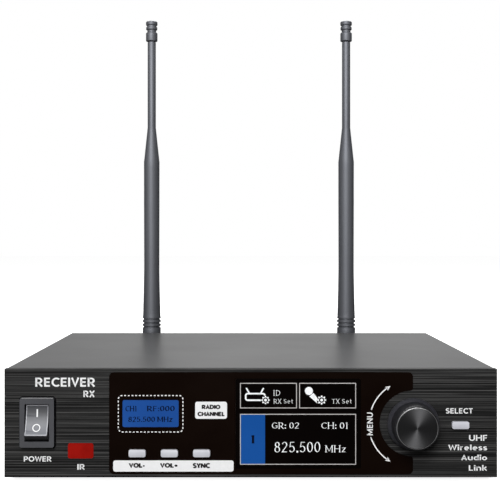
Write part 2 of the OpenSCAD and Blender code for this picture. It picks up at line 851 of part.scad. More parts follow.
// Fork that turns in the coupling ring and carries the hinge pin
module antenna_swivel(x) {
    pivot = hinge_y - rear_y;
    color([0.16, 0.17, 0.19]) at_rear(x) difference() {
        union() {
            translate([0, barrel_len + 0.1, 0]) rod_y(4.6, 0.55);
            translate([0, barrel_len + 0.1, 0]) rod_y(ring_wall_bore_r - 0.1, 3.4);
            translate([0, 5.6, 0]) rod_y(0.7, 6);
            translate([0, swivel_start, 0]) rod_y(swivel_r, swivel_plate_t);
            intersection() {
                union() {
                    translate([-antenna_r, swivel_start + 0.5, -antenna_r])
                        cube([2 * antenna_r, pivot - swivel_start - 0.5, 2 * antenna_r]);
                    translate([-antenna_r, pivot, 0]) rod_x(antenna_r, 2 * antenna_r);
                }
                translate([0, swivel_start, 0]) rod_y(swivel_r, 20);
            }
        }
        translate([-ear_slot / 2, pivot - 6.1, -10]) cube([ear_slot, 20, 20]);
        translate([-10, pivot, 0]) rod_x(pin_r + 0.02, 20);
    }
}

module antenna_swivel_left() {
    antenna_swivel(-antenna_x);
}

module antenna_swivel_right() {
    antenna_swivel(antenna_x);
}

module hinge_pin(x) {
    color([0.75, 0.75, 0.77])
        translate([x - antenna_r + 0.1, hinge_y, socket_z]) rod_x(pin_r, 2 * antenna_r - 0.2);
}

module hinge_pin_left() {
    hinge_pin(-antenna_x);
}

module hinge_pin_right() {
    hinge_pin(antenna_x);
}

// Heights above the hinge pin
groove_zs = [25.2, 27.5, 29.9];
flare_z = 31;
waist_z = 60;
cone_z = [125.7, 146.8];
whip_r = 2.5;
tip_len = 12;
tip_z = antenna_len - tip_len;
rod_start_z = shoulder_z + 2.8;

function ring_groove(z, r) = [[r, z - 0.55], [r - 0.75, z - 0.3], [r - 0.75, z + 0.3], [r, z + 0.55]];

module antenna_sleeve(x) {
    r = antenna_r;
    outline = concat(
        [[0, rod_start_z], [0, shoulder_z], [r - 0.6, shoulder_z], [r, shoulder_z + 0.8]],
        [for (z = groove_zs) each ring_groove(z, r - 0.05)],
        [[5.35, flare_z + 0.6], [4.85, 49], [4.62, waist_z], [4.72, 101], [4.74, cone_z[0]],
         [whip_r, cone_z[1]], [whip_r, tip_z - 0.9], [whip_r - 0.4, tip_z],
         [rod_r + 0.05, tip_z], [rod_r + 0.05, rod_start_z]]);
    color([0.3, 0.31, 0.34]) translate([x, hinge_y, socket_z]) difference() {
        union() {
            rotate_extrude() polygon(outline);
            translate([-tongue_t / 2, -tongue_r, 0]) cube([tongue_t, 2 * tongue_r, shoulder_z + 0.4]);
            translate([-tongue_t / 2, 0, 0]) rod_x(tongue_r, tongue_t);
        }
        translate([-5, 0, 0]) rod_x(pin_r + 0.05, 10);
    }
}

module antenna_sleeve_left() {
    antenna_sleeve(-antenna_x);
}

module antenna_sleeve_right() {
    antenna_sleeve(antenna_x);
}

// Turned cap with a ring between two necks
module antenna_tip(x) {
    color([0.25, 0.26, 0.29]) translate([x, hinge_y, socket_z + tip_z]) rotate_extrude() polygon([
        [0, 0], [3.3, 0], [3.5, 0.3], [3.5, 4.8], [3.3, 5.1], [2.7, 5.5], [2.7, 6.7],
        [3.4, 7.1], [3.4, 8.5], [2.9, 8.8], [2.9, 9.5], [3.5, 9.9], [3.5, 11.6], [3.1, 12], [0, 12]]);
}

module antenna_tip_left() {
    antenna_tip(-antenna_x);
}

module antenna_tip_right() {
    antenna_tip(antenna_x);
}

// Radiator inside the sleeve
module antenna_rod(x) {
    color([0.8, 0.65, 0.3]) translate([x, hinge_y, socket_z + rod_start_z + 0.1])
        cylinder(r = rod_r, h = tip_z - rod_start_z - 0.2);
}

module antenna_rod_left() {
    antenna_rod(-antenna_x);
}

module antenna_rod_right() {
    antenna_rod(antenna_x);
}

front_panel();
front_overlay();
channel_display();
main_display();
display_modules();
ir_window();
ir_emitter();
base_tray();
top_cover();
rear_panel();
rubber_feet();
foot_screws();
cover_screws();
panel_screws();
rear_panel_screws();
rack_ear_inserts();
power_switch_body();
power_switch_terminals();
power_rocker();
volume_down_button();
volume_up_button();
sync_button();
select_button();
display_board();
display_board_pillars();
display_board_screws();
tact_switches();
encoder_body();
encoder_nut();
encoder_shaft();
menu_knob();
menu_knob_cap();
main_board();
main_board_pillars();
main_board_screws();
rf_shield_cans();
board_components();
display_ribbon();
switch_leads();
coax_leads();
xlr_shell();
xlr_insert();
xlr_pins();
jack_output();
jack_nut();
dc_inlet();
antenna_sockets();
antenna_socket_nuts();
coupling_ring_left();
coupling_ring_right();
antenna_swivel_left();
antenna_swivel_right();
hinge_pin_left();
hinge_pin_right();
antenna_sleeve_left();
antenna_sleeve_right();
antenna_tip_left();
antenna_tip_right();
antenna_rod_left();
antenna_rod_right();
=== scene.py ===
import json
import math

import bmesh
import bpy
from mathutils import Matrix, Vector


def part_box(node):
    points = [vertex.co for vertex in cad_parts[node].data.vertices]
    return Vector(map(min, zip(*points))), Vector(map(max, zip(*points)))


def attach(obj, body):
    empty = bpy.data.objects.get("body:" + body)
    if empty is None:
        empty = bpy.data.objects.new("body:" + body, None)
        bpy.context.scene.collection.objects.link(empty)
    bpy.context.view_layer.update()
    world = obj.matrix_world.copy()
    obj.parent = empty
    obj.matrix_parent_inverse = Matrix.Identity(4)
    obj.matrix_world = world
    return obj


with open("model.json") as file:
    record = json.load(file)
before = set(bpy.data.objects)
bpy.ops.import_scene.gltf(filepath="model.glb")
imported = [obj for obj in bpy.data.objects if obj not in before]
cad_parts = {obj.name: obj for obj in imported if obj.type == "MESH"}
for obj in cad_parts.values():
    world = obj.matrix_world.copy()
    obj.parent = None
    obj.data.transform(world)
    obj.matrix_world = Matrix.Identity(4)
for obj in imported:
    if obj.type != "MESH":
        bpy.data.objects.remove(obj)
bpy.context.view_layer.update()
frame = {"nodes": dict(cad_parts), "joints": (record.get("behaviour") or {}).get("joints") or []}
NODES = frame["nodes"]
MM = 0.001

# ---- Places, all taken from the frame ------------------------------------------------

PANEL_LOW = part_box("front_panel")[0]
FRONT_Y = PANEL_LOW.y
PANEL_Z = PANEL_LOW.z
OVERLAY_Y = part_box("front_overlay")[0].y
GLASS_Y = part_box("main_display")[0].y
CHANNEL_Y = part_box("channel_display")[0].y
REAR_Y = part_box("rear_panel")[1].y
KNOB_LOW, KNOB_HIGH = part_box("menu_knob_cap")
KNOB_X = (KNOB_LOW.x + KNOB_HIGH.x) / 2
KNOB_Z = (KNOB_LOW.z + KNOB_HIGH.z) / 2
CAP_CHAMFER = 0.5 * MM
CAP_FACE_R = (KNOB_HIGH.x - KNOB_LOW.x) / 2 - CAP_CHAMFER
SKIRT_SLOPE_W = 1.5 * MM
SKIRT_SLOPE_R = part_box("menu_knob")[1].x - KNOB_X - SKIRT_SLOPE_W
SWITCH_LOW, SWITCH_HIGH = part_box("power_switch_body")
SWITCH_X = (SWITCH_LOW.x + SWITCH_HIGH.x) / 2
SWITCH_Z = (SWITCH_LOW.z + SWITCH_HIGH.z) / 2
JOINTS = {j["name"]: j for j in frame["joints"]}

# The camera's eye in mm: to the right of the middle, before the panel and above the ground
EYE_X, EYE_AWAY, EYE_Z = -2.58, 425.5, 104.2


def panel_point(x, z):
    """Millimetres from the middle of the panel and above its lower edge, to the frame's metres."""
    return x * MM, PANEL_Z + z * MM


# ---- Node helpers --------------------------------------------------------------------


def set_stops(ramp, stops):
    """Gives a colour ramp its stops: (place, colour or grey value)."""
    while len(ramp.elements) < len(stops):
        ramp.elements.new(0.5)
    for element, (place, colour) in zip(ramp.elements, stops):
        element.position = place
        element.color = (*colour, 1) if isinstance(colour, tuple) else (colour, colour, colour, 1)


class Shader:
    """A material under construction. n() adds a node; its sockets go by name, or by place as i0, i1."""

    def __init__(self, name):
        self.material = bpy.data.materials.new(name)
        self.material.use_nodes = True
        self.tree = self.material.node_tree
        self.tree.nodes.clear()
        self.out = self.n("ShaderNodeOutputMaterial")
        self.coord = self.n("ShaderNodeTexCoord").outputs["Object"]

    def n(self, kind, props=None, **sockets):
        made = self.tree.nodes.new(kind)
        for key, value in (props or {}).items():
            setattr(made, key, value)
        for key, value in sockets.items():
            self.set(made, key.replace("_", " "), value)
        return made

    def set(self, made, key, value):
        by_place = key[:1] == "i" and key[1:].isdigit()
        socket = made.inputs[int(key[1:]) if by_place else key]
        if isinstance(value, bpy.types.NodeSocket):
            self.tree.links.new(value, socket)
        elif socket.type == "RGBA":
            socket.default_value = (*value, 1)
        else:
            socket.default_value = value

    def mapped(self, scale, location=(0, 0, 0), rotation=(0, 0, 0)):
        return self.n("ShaderNodeMapping", Vector=self.coord, Scale=scale, Location=location,
                      Rotation=rotation).outputs["Vector"]

    def noise(self, scale, detail=3.0, roughness=0.55, vector=None):
        return self.n("ShaderNodeTexNoise", Vector=vector or self.coord, Scale=scale, Detail=detail,
                      Roughness=roughness).outputs["Fac"]

    def ramp(self, fac, stops):
        made = self.n("ShaderNodeValToRGB", Fac=fac)
        set_stops(made.color_ramp, stops)
        return made.outputs["Color"]

    def between(self, fac, low, high, start=0.3, end=0.7):
        """From one value or colour to another, over the middle of a texture's range."""
        return self.ramp(fac, [(start, low), (end, high)])

    def axis(self, name):
        """One of the object's own coordinates, in metres."""
        return self.n("ShaderNodeSeparateXYZ", Vector=self.coord).outputs[name]

    def math(self, operation, a, b=0.0, c=0.0):
        return self.n("ShaderNodeMath", {"operation": operation}, i0=a, i1=b, i2=c).outputs["Value"]

    def blend(self, a, share, b):
        """A share of one value and the rest of another."""
        return self.math("MULTIPLY_ADD", a, share, self.math("MULTIPLY", b, 1 - share))

    def mix(self, fac, a, b, blend="MIX"):
        made = self.n("ShaderNodeMix", {"data_type": "RGBA", "blend_type": blend})
        self.set(made, "i0", fac)
        for socket, value in ((made.inputs[6], a), (made.inputs[7], b)):
            if isinstance(value, bpy.types.NodeSocket):
                self.tree.links.new(value, socket)
            else:
                socket.default_value = (*value, 1)
        return made.outputs[2]

    def bump(self, height, strength, distance):
        made = self.n("ShaderNodeBump", Height=height, Strength=strength, Distance=distance)
        return made.outputs["Normal"]

    def finish(self, **sockets):
        bsdf = self.n("ShaderNodeBsdfPrincipled", **sockets)
        self.tree.links.new(bsdf.outputs["BSDF"], self.out.inputs["Surface"])
        return self.material


def moulded(name, dark, light, rough=(0.42, 0.55), grain=2600, bump=0.25, **extra):
    """Moulded or painted plastic: slow mottling in colour and gloss, and a fine grain in the surface."""
    s = Shader(name)
    slow = s.noise(45, 3)
    fine = s.noise(grain, 2, 0.6)
    both = s.blend(fine, 0.35, slow)
    colour = s.between(both, dark, light, 0.32, 0.68)
    gloss = s.between(both, *rough)
    return s.finish(Base_Color=colour, Roughness=gloss, Normal=s.bump(fine, bump, 0.03 * MM), **extra)


def metal(name, dark, light, rough=(0.22, 0.38), grain=900, metallic=1.0):
    """Turned, rolled or plated metal with fine marks."""
    s = Shader(name)
    marks = s.noise(grain, 4, 0.6)
    slow = s.noise(60, 3)
    both = s.blend(marks, 0.5, slow)
    colour = s.between(both, dark, light)
    gloss = s.between(both, *rough)
    return s.finish(Base_Color=colour, Roughness=gloss, Metallic=metallic,
                    Normal=s.bump(marks, 0.12, 0.02 * MM))


# ---- Materials -----------------------------------------------------------------------


def brushed_panel():
    """Black brushed face: level streaks of a hair's width, in colour, gloss and height."""
    s = Shader("brushed_black_panel")
    # Each mapping is stretched along X: few marks per metre along the panel, thousands up it
    long_marks = s.noise(1, 1, 0.5, s.mapped((8, 60, 4300)))
    short_marks = s.noise(1, 1, 0.5, s.mapped((45, 60, 4700), (0.3, 0, 0.1)))
    scores = s.noise(1, 1, 0.5, s.mapped((10, 60, 3700), (0.7, 0, 0.2)))
    marks = s.blend(short_marks, 0.25, long_marks)
    field = s.ramp(marks, [(0.36, (0.004, 0.004, 0.004)), (0.5, (0.0195, 0.0195, 0.0195)),
                           (0.64, (0.073, 0.072, 0.071))])
    dark = s.between(scores, 0.22, 1.0, 0.40, 0.47)
    colour = s.mix(1.0, field, dark, "MULTIPLY")
    height = s.math("MULTIPLY", marks, dark)
    gloss = s.between(marks, 0.5, 0.38, 0.35, 0.65)
    return s.finish(Base_Color=colour, Roughness=gloss, Specular_IOR_Level=0.14,
                    Normal=s.bump(height, 0.12, 0.03 * MM))


def gloss_overlay():
    """Printed polyester film: near black with a warm cast, smooth, with faint wipe marks."""
    s = Shader("overlay_gloss_black")
    wipes = s.noise(1, 3, 0.5, s.mapped((35, 35, 70), rotation=(0, 0.35, 0)))
    dust = s.noise(1500, 2)
    colour = s.between(wipes, (0.0040, 0.0019, 0.0012), (0.0062, 0.0033, 0.0023), end=0.75)
    gloss = s.between(wipes, 0.16, 0.26)
    return s.finish(Base_Color=colour, Roughness=gloss, Specular_IOR_Level=0.025,
                    Normal=s.bump(dust, 0.03, 0.01 * MM))


LCD_CELL = 0.19 * MM
LCD_GAP_SHARE = 0.14


def lcd(name, dark, light, glow):
    """Backlit display: an even field with a fine cell grid and a slightly uneven backlight."""
    s = Shader(name)
    field = s.noise(38, 2)
    colour = s.between(field, dark, light)
    inside = []
    for axis in ("X", "Z"):
        part = s.math("FRACT", s.math("MULTIPLY", s.axis(axis), 1 / LCD_CELL))
        inside.append(s.math("GREATER_THAN", part, LCD_GAP_SHARE))
    cells = s.math("MULTIPLY", *inside)
    shade = s.between(cells, 0.86, 1.0, 0.0, 1.0)
    lit = s.mix(1.0, colour, shade, "MULTIPLY")
    return s.finish(Base_Color=lit, Roughness=0.28, Specular_IOR_Level=0.03, Emission_Color=lit,
                    Emission_Strength=glow)


def ink(name, dark, light, rough=0.5, glow=0.0, specular=0.3):
    """Screen-printed ink: slightly uneven cover with a fine tooth."""
    s = Shader(name)
    cover = s.noise(900, 3, 0.6)
    colour = s.between(cover, dark, light)
    return s.finish(Base_Color=colour, Roughness=rough, Specular_IOR_Level=specular,
                    Normal=s.bump(cover, 0.1, 0.01 * MM), Emission_Color=colour, Emission_Strength=glow)


def top_paint():
    """Satin powder coat on sheet steel: a fine orange peel over slow mottling."""
    s = Shader("cover_powder_coat")
    peel = s.noise(1100, 3, 0.5)
    grain = s.noise(4200, 2, 0.6)
    slow = s.noise(14, 3)
    height = s.math("MULTIPLY_ADD", grain, 0.3, peel)
    colour = s.between(slow, (0.036, 0.036, 0.037), (0.044, 0.044, 0.045))
    gloss = s.between(slow, 0.33, 0.39)
    return s.finish(Base_Color=colour, Roughness=gloss, Specular_IOR_Level=0.5,
                    Normal=s.bump(height, 0.22, 0.04 * MM))


def antenna_rubber():
    """Moulded rubber of the antennas: fine grain, and faint upright drag lines from the mould."""
    s = Shader("antenna_moulded_rubber")
    grain = s.noise(2400, 3, 0.65)
    drag = s.noise(1, 3, 0.6, s.mapped((900, 900, 25)))
    both = s.blend(grain, 0.55, drag)
    field = s.between(both, (0.165, 0.172, 0.192), (0.225, 0.233, 0.258))
    quarter_metres = s.math("MULTIPLY", s.axis("Z"), 4.0)
    # Darker towards the bottom of the antennas.
    darker_low = s.ramp(quarter_metres, [(0.2, 0.66), (0.42, 0.86), (0.9, 0.98)])
    colour = s.mix(1.0, field, darker_low, "MULTIPLY")
    gloss = s.between(both, 0.54, 0.64)
    return s.finish(Base_Color=colour, Roughness=gloss, Metallic=0.62, Specular_IOR_Level=0.5,
                    Normal=s.bump(both, 0.25, 0.03 * MM))


def radius_about_knob(s):
    """How far a point lies from the knob's axis, in metres."""
    dx = s.math("SUBTRACT", s.axis("X"), KNOB_X)
    dz = s.math("SUBTRACT", s.axis("Z"), KNOB_Z)
    return s.math("SQRT", s.math("ADD", s.math("MULTIPLY", dx, dx), s.math("MULTIPLY", dz, dz)))


CAP_GROOVES = 5200  # turning marks per metre of radius


def spun_cap():
    """Anodised cap with turning marks about the knob's axis, so that highlights spread into fans."""
    s = Shader("knob_cap_spun_metal")
    radius = radius_about_knob(s)
    ring = s.n("ShaderNodeCombineXYZ", X=s.math("MULTIPLY", radius, CAP_GROOVES), Y=0.0, Z=0.0)
    grooves = s.noise(1.0, 3.0, 0.6, ring.outputs["Vector"])
    colour = s.between(grooves, (0.055, 0.055, 0.057), (0.095, 0.095, 0.098))
    tangent = s.n("ShaderNodeTangent", {"direction_type": "RADIAL", "axis": "Y"})
    return s.finish(Base_Color=colour, Metallic=1.0, Roughness=0.48, Anisotropic=0.77,
                    Anisotropic_Rotation=0.355, Tangent=tangent.outputs["Tangent"],
                    Normal=s.bump(grooves, 0.1, 0.02 * MM))


def rocker_face():
    """Grey moulded rocker with painted shade: darker towards its upper end and lighter towards its lower
    end.
    """
    s = Shader("rocker_dark_grey")
    low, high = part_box("power_rocker")
    slow, grain = s.noise(60, 3), s.noise(3000, 2, 0.6)
    field = s.between(slow, (0.125, 0.130, 0.150), (0.155, 0.162, 0.185), 0.32, 0.68)
    height = s.axis("Z")
    up = s.math("MULTIPLY", s.math("SUBTRACT", height, low[2]), 1 / (high[2] - low[2]))
    # Painted shade: the face is darkened towards its top and left lighter towards its lower end.
    shade = s.ramp(up, [(0.2, 1.0), (0.5, 0.7), (0.78, 0.26)])
    colour = s.mix(1.0, field, shade, "MULTIPLY")
    gloss = s.between(grain, 0.4, 0.5)
    return s.finish(Base_Color=colour, Roughness=gloss, Normal=s.bump(grain, 0.1, 0.03 * MM))


def cut_edge():
    """Bright diamond-cut line on the cap's chamfer, black anodised on either side of it."""
    s = Shader("knob_cap_cut_edge")
    across = s.math("MULTIPLY", s.math("SUBTRACT", radius_about_knob(s), CAP_FACE_R), 1 / CAP_CHAMFER)
    marks = s.noise(1400, 3)
    line = s.ramp(across, [(0.1, (0.02, 0.02, 0.02)), (0.25, (0.86, 0.86, 0.87)), (0.65, (0.9, 0.9, 0.91)),
                           (0.85, (0.02, 0.02, 0.02))])
    return s.finish(Base_Color=line, Roughness=s.between(marks, 0.38, 0.46), Metallic=1.0,
                    Normal=s.bump(marks, 0.1, 0.02 * MM))


def knob_skirt():
    """Satin black skirt with a fine grain, and a painted highlight that makes the slope round its edge
    paler.
    """
    s = Shader("knob_skirt_black")
    grain = s.noise(2300, 3, 0.6)
    field = s.between(grain, (0.006, 0.006, 0.007), (0.018, 0.018, 0.022))
    past = s.math("SUBTRACT", radius_about_knob(s), SKIRT_SLOPE_R)
    # Painted highlight: the colour grows paler over the slope round the skirt's edge.
    slope_painted_highlight = s.between(s.math("MULTIPLY", past, 1 / MM), 1.0, 2.3, 0.0, 0.25)
    colour = s.mix(1.0, field, slope_painted_highlight, "MULTIPLY")
    return s.finish(Base_Color=colour, Roughness=0.34, Specular_IOR_Level=0.7,
                    Normal=s.bump(grain, 0.3, 0.05 * MM))


def board_green():
    """Solder mask over copper: slightly raised tracks, run in a fine grid."""
    s = Shader("board_solder_mask")
    cells = s.n("ShaderNodeTexVoronoi", {"feature": "F1", "distance": "CHEBYCHEV"}, Vector=s.coord,
                Scale=210.0)
    tracks = s.math("GREATER_THAN", cells.outputs["Distance"], 0.42)
    colour = s.mix(tracks, (0.006, 0.075, 0.03), (0.012, 0.13, 0.05))
    return s.finish(Base_Color=colour, Roughness=0.35, Normal=s.bump(tracks, 0.4, 0.03 * MM))


CROWN_DEPTH = 0.45 * MM


def crowned_button(name, dark, light, node_name):
    """Silver-grey moulded key whose face is crowned a little from top to bottom."""
    s = Shader(name)
    low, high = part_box(node_name)
    middle, half = (low[2] + high[2]) / 2, (high[2] - low[2]) / 2
    slow, grain = s.noise(120, 3), s.noise(3000, 2, 0.6)
    colour = s.between(slow, dark, light, 0.32, 0.68)
    height = s.axis("Z")
    off = s.math("MULTIPLY", s.math("SUBTRACT", height, middle), 1 / half)
    crown = s.math("MULTIPLY_ADD", s.math("MULTIPLY", off, off), -1.0, 1.0)
    tooth = s.math("MULTIPLY_ADD", grain, 0.01, crown)
    return s.finish(Base_Color=colour, Roughness=s.between(grain, 0.36, 0.46),
                    Normal=s.bump(tooth, 1.0, CROWN_DEPTH))


def ir_filter():
    """Deep red filter: glossy moulded acrylic with a little light scattered inside."""
    s = Shader("ir_window_red_acrylic")
    slow = s.noise(160, 3)
    fine = s.noise(2500, 2)
    colour = s.between(slow, (0.235, 0.0042, 0.0022), (0.30, 0.0065, 0.0035))
    return s.finish(Base_Color=colour, Roughness=0.35, Specular_IOR_Level=0.06,
                    Normal=s.bump(fine, 0.08, 0.02 * MM))


MATERIALS = {
    "panel": brushed_panel(),
    "overlay": gloss_overlay(),
    "channel_lcd": lcd("channel_lcd_blue", (0.010, 0.052, 0.215), (0.013, 0.062, 0.245), 0.35),
    "main_lcd": lcd("main_lcd_black", (0.0012, 0.0007, 0.0006), (0.0020, 0.0012, 0.0010), 0.2),
    "lcd_blue": lcd("main_lcd_blue_block", (0.005, 0.050, 0.205), (0.007, 0.058, 0.235), 0.4),
    "lcd_lines": ink("lcd_pixels_lines", (0.34, 0.325, 0.32), (0.44, 0.425, 0.42), 0.4, 0.35),
    "lcd_text": ink("lcd_pixels_text", (0.55, 0.57, 0.58), (0.72, 0.74, 0.75), 0.4, 0.45),
    "lcd_dark": ink("lcd_pixels_dark", (0.0015, 0.004, 0.016), (0.003, 0.007, 0.026), 0.4, specular=0.05),
    "ink_white": ink("legend_ink_white", (0.80, 0.805, 0.81), (0.84, 0.845, 0.85), 0.5),
    "ink_black": ink("legend_ink_black", (0.006, 0.005, 0.005), (0.012, 0.010, 0.010), 0.5),
    "ir_window": ir_filter(),
    "cover": top_paint(),
    "antenna": antenna_rubber(),
    "cap": spun_cap(),
    "cap_edge": cut_edge(),
    "skirt": knob_skirt(),
    "board": board_green(),
    "button": crowned_button("button_silver_grey", (0.50, 0.505, 0.55), (0.60, 0.605, 0.65),
                             "sync_button"),
    "select": crowned_button("select_button_grey", (0.50, 0.505, 0.555), (0.60, 0.605, 0.655),
                             "select_button"),
    "switch": moulded("switch_frame_black", (0.044, 0.045, 0.051), (0.058, 0.059, 0.067), (0.38, 0.5)),
    "rocker": rocker_face(),
    # Painted highlight: a pale grey for the band round the rocker's face.
    "rocker_edge": moulded("rocker_edge_grey", (0.40, 0.405, 0.44), (0.50, 0.505, 0.54), (0.3, 0.4), 3000,
                           0.08),
    # Painted shade: a darker copy of the rocker's grey for its ends.
    "rocker_end": moulded("rocker_end_dark", (0.020, 0.020, 0.022), (0.034, 0.034, 0.037), (0.4, 0.55)),
    # Painted highlight: a pale copy of the frame's black for the bezel's upper edge.
    "switch_edge": moulded("switch_frame_edge", (0.52, 0.523, 0.54), (0.64, 0.643, 0.66), (0.28, 0.38)),
    # Painted shadow: near-black for the thin ring round the switch's bezel.
    "gasket": moulded("switch_shadow_gasket", (0.0015, 0.0015, 0.002), (0.003, 0.003, 0.0035), (0.7, 0.85),
                      Specular_IOR_Level=0.05),
    "black_plastic": moulded("moulded_black_plastic", (0.012, 0.012, 0.013), (0.024, 0.024, 0.025)),
    "rubber": moulded("foot_rubber", (0.014, 0.014, 0.014), (0.028, 0.027, 0.027), (0.65, 0.85), 1500, 0.5),
    "zinc": metal("zinc_plated_steel", (0.42, 0.42, 0.41), (0.58, 0.58, 0.57)),
    "galvanised": metal("galvanised_tray_steel", (0.36, 0.37, 0.38), (0.52, 0.53, 0.54), (0.3, 0.5), 240),
    "rear_paint": moulded("rear_panel_paint", (0.028, 0.028, 0.029), (0.040, 0.040, 0.041), (0.4, 0.55),
                          1400, 0.4),
    "nickel": metal("nickel_plate", (0.55, 0.54, 0.50), (0.70, 0.69, 0.65), (0.16, 0.28)),
    "brass": metal("turned_brass", (0.55, 0.40, 0.16), (0.72, 0.55, 0.26), (0.22, 0.36)),
    "tin": metal("tinned_shield_steel", (0.52, 0.53, 0.55), (0.66, 0.67, 0.69), (0.24, 0.4), 300),
    "screw_black": metal("blackened_screw_steel", (0.015, 0.015, 0.016), (0.035, 0.035, 0.037), (0.3, 0.45),
                         metallic=0.6),
    "module": moulded("display_module_frame", (0.24, 0.25, 0.26), (0.32, 0.33, 0.34)),
    "chip": moulded("component_epoxy", (0.012, 0.012, 0.014), (0.028, 0.028, 0.03), (0.5, 0.65)),
    "ribbon": moulded("ribbon_cable_grey", (0.40, 0.40, 0.41), (0.52, 0.52, 0.53), (0.4, 0.5), 700),
    "wire_red": moulded("switch_lead_red", (0.30, 0.012, 0.010), (0.42, 0.022, 0.018), (0.3, 0.42)),
    "wire_black": moulded("coax_jacket_black", (0.012, 0.012, 0.013), (0.022, 0.022, 0.023), (0.35, 0.5)),
    "emitter": moulded("infrared_emitter_epoxy", (0.03, 0.02, 0.05), (0.05, 0.035, 0.08), (0.08, 0.16),
                       900, 0.02),
}



# CAD node: (material, softened edge in mm)
FINISH = {
    "front_panel": ("panel", 0.25), "front_overlay": ("overlay", 0.12),
    "channel_display": ("channel_lcd", 0.08), "main_display": ("main_lcd", 0.08),
    "display_modules": ("module", 0.3), "ir_window": ("ir_window", 0.12),
    "ir_emitter": ("emitter", 0.1), "base_tray": ("galvanised", 0.2), "top_cover": ("cover", 0.25),
    "rear_panel": ("rear_paint", 0.2), "rubber_feet": ("rubber", 0.4), "foot_screws": ("zinc", 0.2),
    "cover_screws": ("screw_black", 0.15), "panel_screws": ("zinc", 0.15),
    "rear_panel_screws": ("screw_black", 0.15), "rack_ear_inserts": ("brass", 0.12),
    "power_switch_body": ("switch", 0.35), "power_switch_terminals": ("brass", 0.1),
    "power_rocker": ("rocker", 0.2), "volume_down_button": ("button", 0.75),
    "volume_up_button": ("button", 0.75), "sync_button": ("button", 0.75),
    "select_button": ("select", 0.75), "display_board": ("board", 0.08),
    "display_board_pillars": ("brass", 0.12), "display_board_screws": ("zinc", 0.12),
    "tact_switches": ("black_plastic", 0.15), "encoder_body": ("zinc", 0.15),
    "encoder_nut": ("nickel", 0.12), "encoder_shaft": ("zinc", 0.12), "menu_knob": ("skirt", 0.12),
    "menu_knob_cap": ("cap", 0.05), "main_board": ("board", 0.08),
    "main_board_pillars": ("brass", 0.12), "main_board_screws": ("zinc", 0.12),
    "rf_shield_cans": ("tin", 0.15), "board_components": ("chip", 0.15),
    "display_ribbon": ("ribbon", 0.1), "switch_leads": ("wire_red", 0.05),
    "coax_leads": ("wire_black", 0.05), "xlr_shell": ("black_plastic", 0.3),
    "xlr_insert": ("black_plastic", 0.1), "xlr_pins": ("nickel", 0.15),
    "jack_output": ("black_plastic", 0.2), "jack_nut": ("nickel", 0.12),
    "dc_inlet": ("black_plastic", 0.2), "antenna_sockets": ("nickel", 0.12),
    "antenna_socket_nuts": ("nickel", 0.12),
}
for side in ("left", "right"):
    FINISH["coupling_ring_" + side] = ("nickel", 0.15)
    FINISH["antenna_swivel_" + side] = ("antenna", 0.2)
    FINISH["hinge_pin_" + side] = ("zinc", 0.1)
    FINISH["antenna_sleeve_" + side] = ("antenna", 0.1)
    FINISH["antenna_tip_" + side] = ("antenna", 0.1)
    FINISH["antenna_rod_" + side] = ("brass", 0.0)


WELD_DISTANCE = 0.004 * MM
WIDE_EDGE = 0.5  # mm; a wider edge gets more segments
SHARP_DEG = 32


def soften(obj, width):
    """Rounds a CAD node's sharp edges with modifiers, which leave its own mesh as it is."""
    weld = obj.modifiers.new("weld", "WELD")
    weld.merge_threshold = WELD_DISTANCE
    if width > 0:
        bevel = obj.modifiers.new("edges", "BEVEL")
        bevel.width = width * MM
        bevel.segments = 2 if width < WIDE_EDGE else 5
        bevel.limit_method = "ANGLE"
        bevel.angle_limit = math.radians(SHARP_DEG)
        bevel.use_clamp_overlap = True


def on_rocker_end(face):
    """The rocker's upper and lower ends, which face mostly up or down and take a darker copy of its plastic
    as painted shade.
    """
    return abs(face.normal.z) > 0.62


def on_bezel_top(face):
    """The upper edge of the power switch's bezel, in front of the panel, which takes a pale painted
    highlight.
    """
    return (face.normal.z > 0.9 and face.center.y < FRONT_Y
            and face.center.z > SWITCH_HIGH.z - 0.5 * MM)


def on_cap_chamfer(face):
    """Neither the cap's front, which faces straight forward, nor its wall."""
    return -0.95 < face.normal.y < -0.3


# CAD node: (second material, test for the faces that take it)
SECOND = {
    "power_rocker": ("rocker_end", on_rocker_end),
    "power_switch_body": ("switch_edge", on_bezel_top),
    "menu_knob_cap": ("cap_edge", on_cap_chamfer),
}


for name, node in NODES.items():
    key, edge = FINISH[name]
    node.data.materials.clear()
    node.data.materials.append(MATERIALS[key])
    if name in SECOND:
        second, takes_second = SECOND[name]
        node.data.materials.append(MATERIALS[second])
        for face in node.data.polygons:
            if takes_second(face):
                face.material_index = 1
    soften(node, edge)

# ---- Flat shapes: printing, labels and display pixels ---------------------------------

# Thicknesses in mm
INK_T, PIXEL_T, MARK_T, SHADOW_RING_T = 0.03, 0.02, 0.04, 0.12
# A letter's pen, the gap after it and a dot's radius, plain and with serifs, on a cap height of 10
PEN = 1.8
PLAIN_GAP, SERIF_GAP = 1.15, 1.3
PLAIN_DOT_R, SERIF_DOT_R = 1.05, 0.8


def to_object(name, mesh, material, body):
    """A mesh as a visible piece that rides on a body."""
    obj = bpy.data.objects.new(name, mesh)
    bpy.context.scene.collection.objects.link(obj)
    mesh.materials.clear()
    mesh.materials.append(MATERIALS[material])
    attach(obj, body)


def curve_mesh(curve):
    """A 2D curve as a mesh in its own XY plane."""
    obj = bpy.data.objects.new("scratch", curve)
    bpy.context.scene.collection.objects.link(obj)
    bpy.context.view_layer.update()
    graph = bpy.context.evaluated_depsgraph_get()
    mesh = bpy.data.meshes.new_from_object(obj.evaluated_get(graph))
    bpy.data.objects.remove(obj)
    return mesh


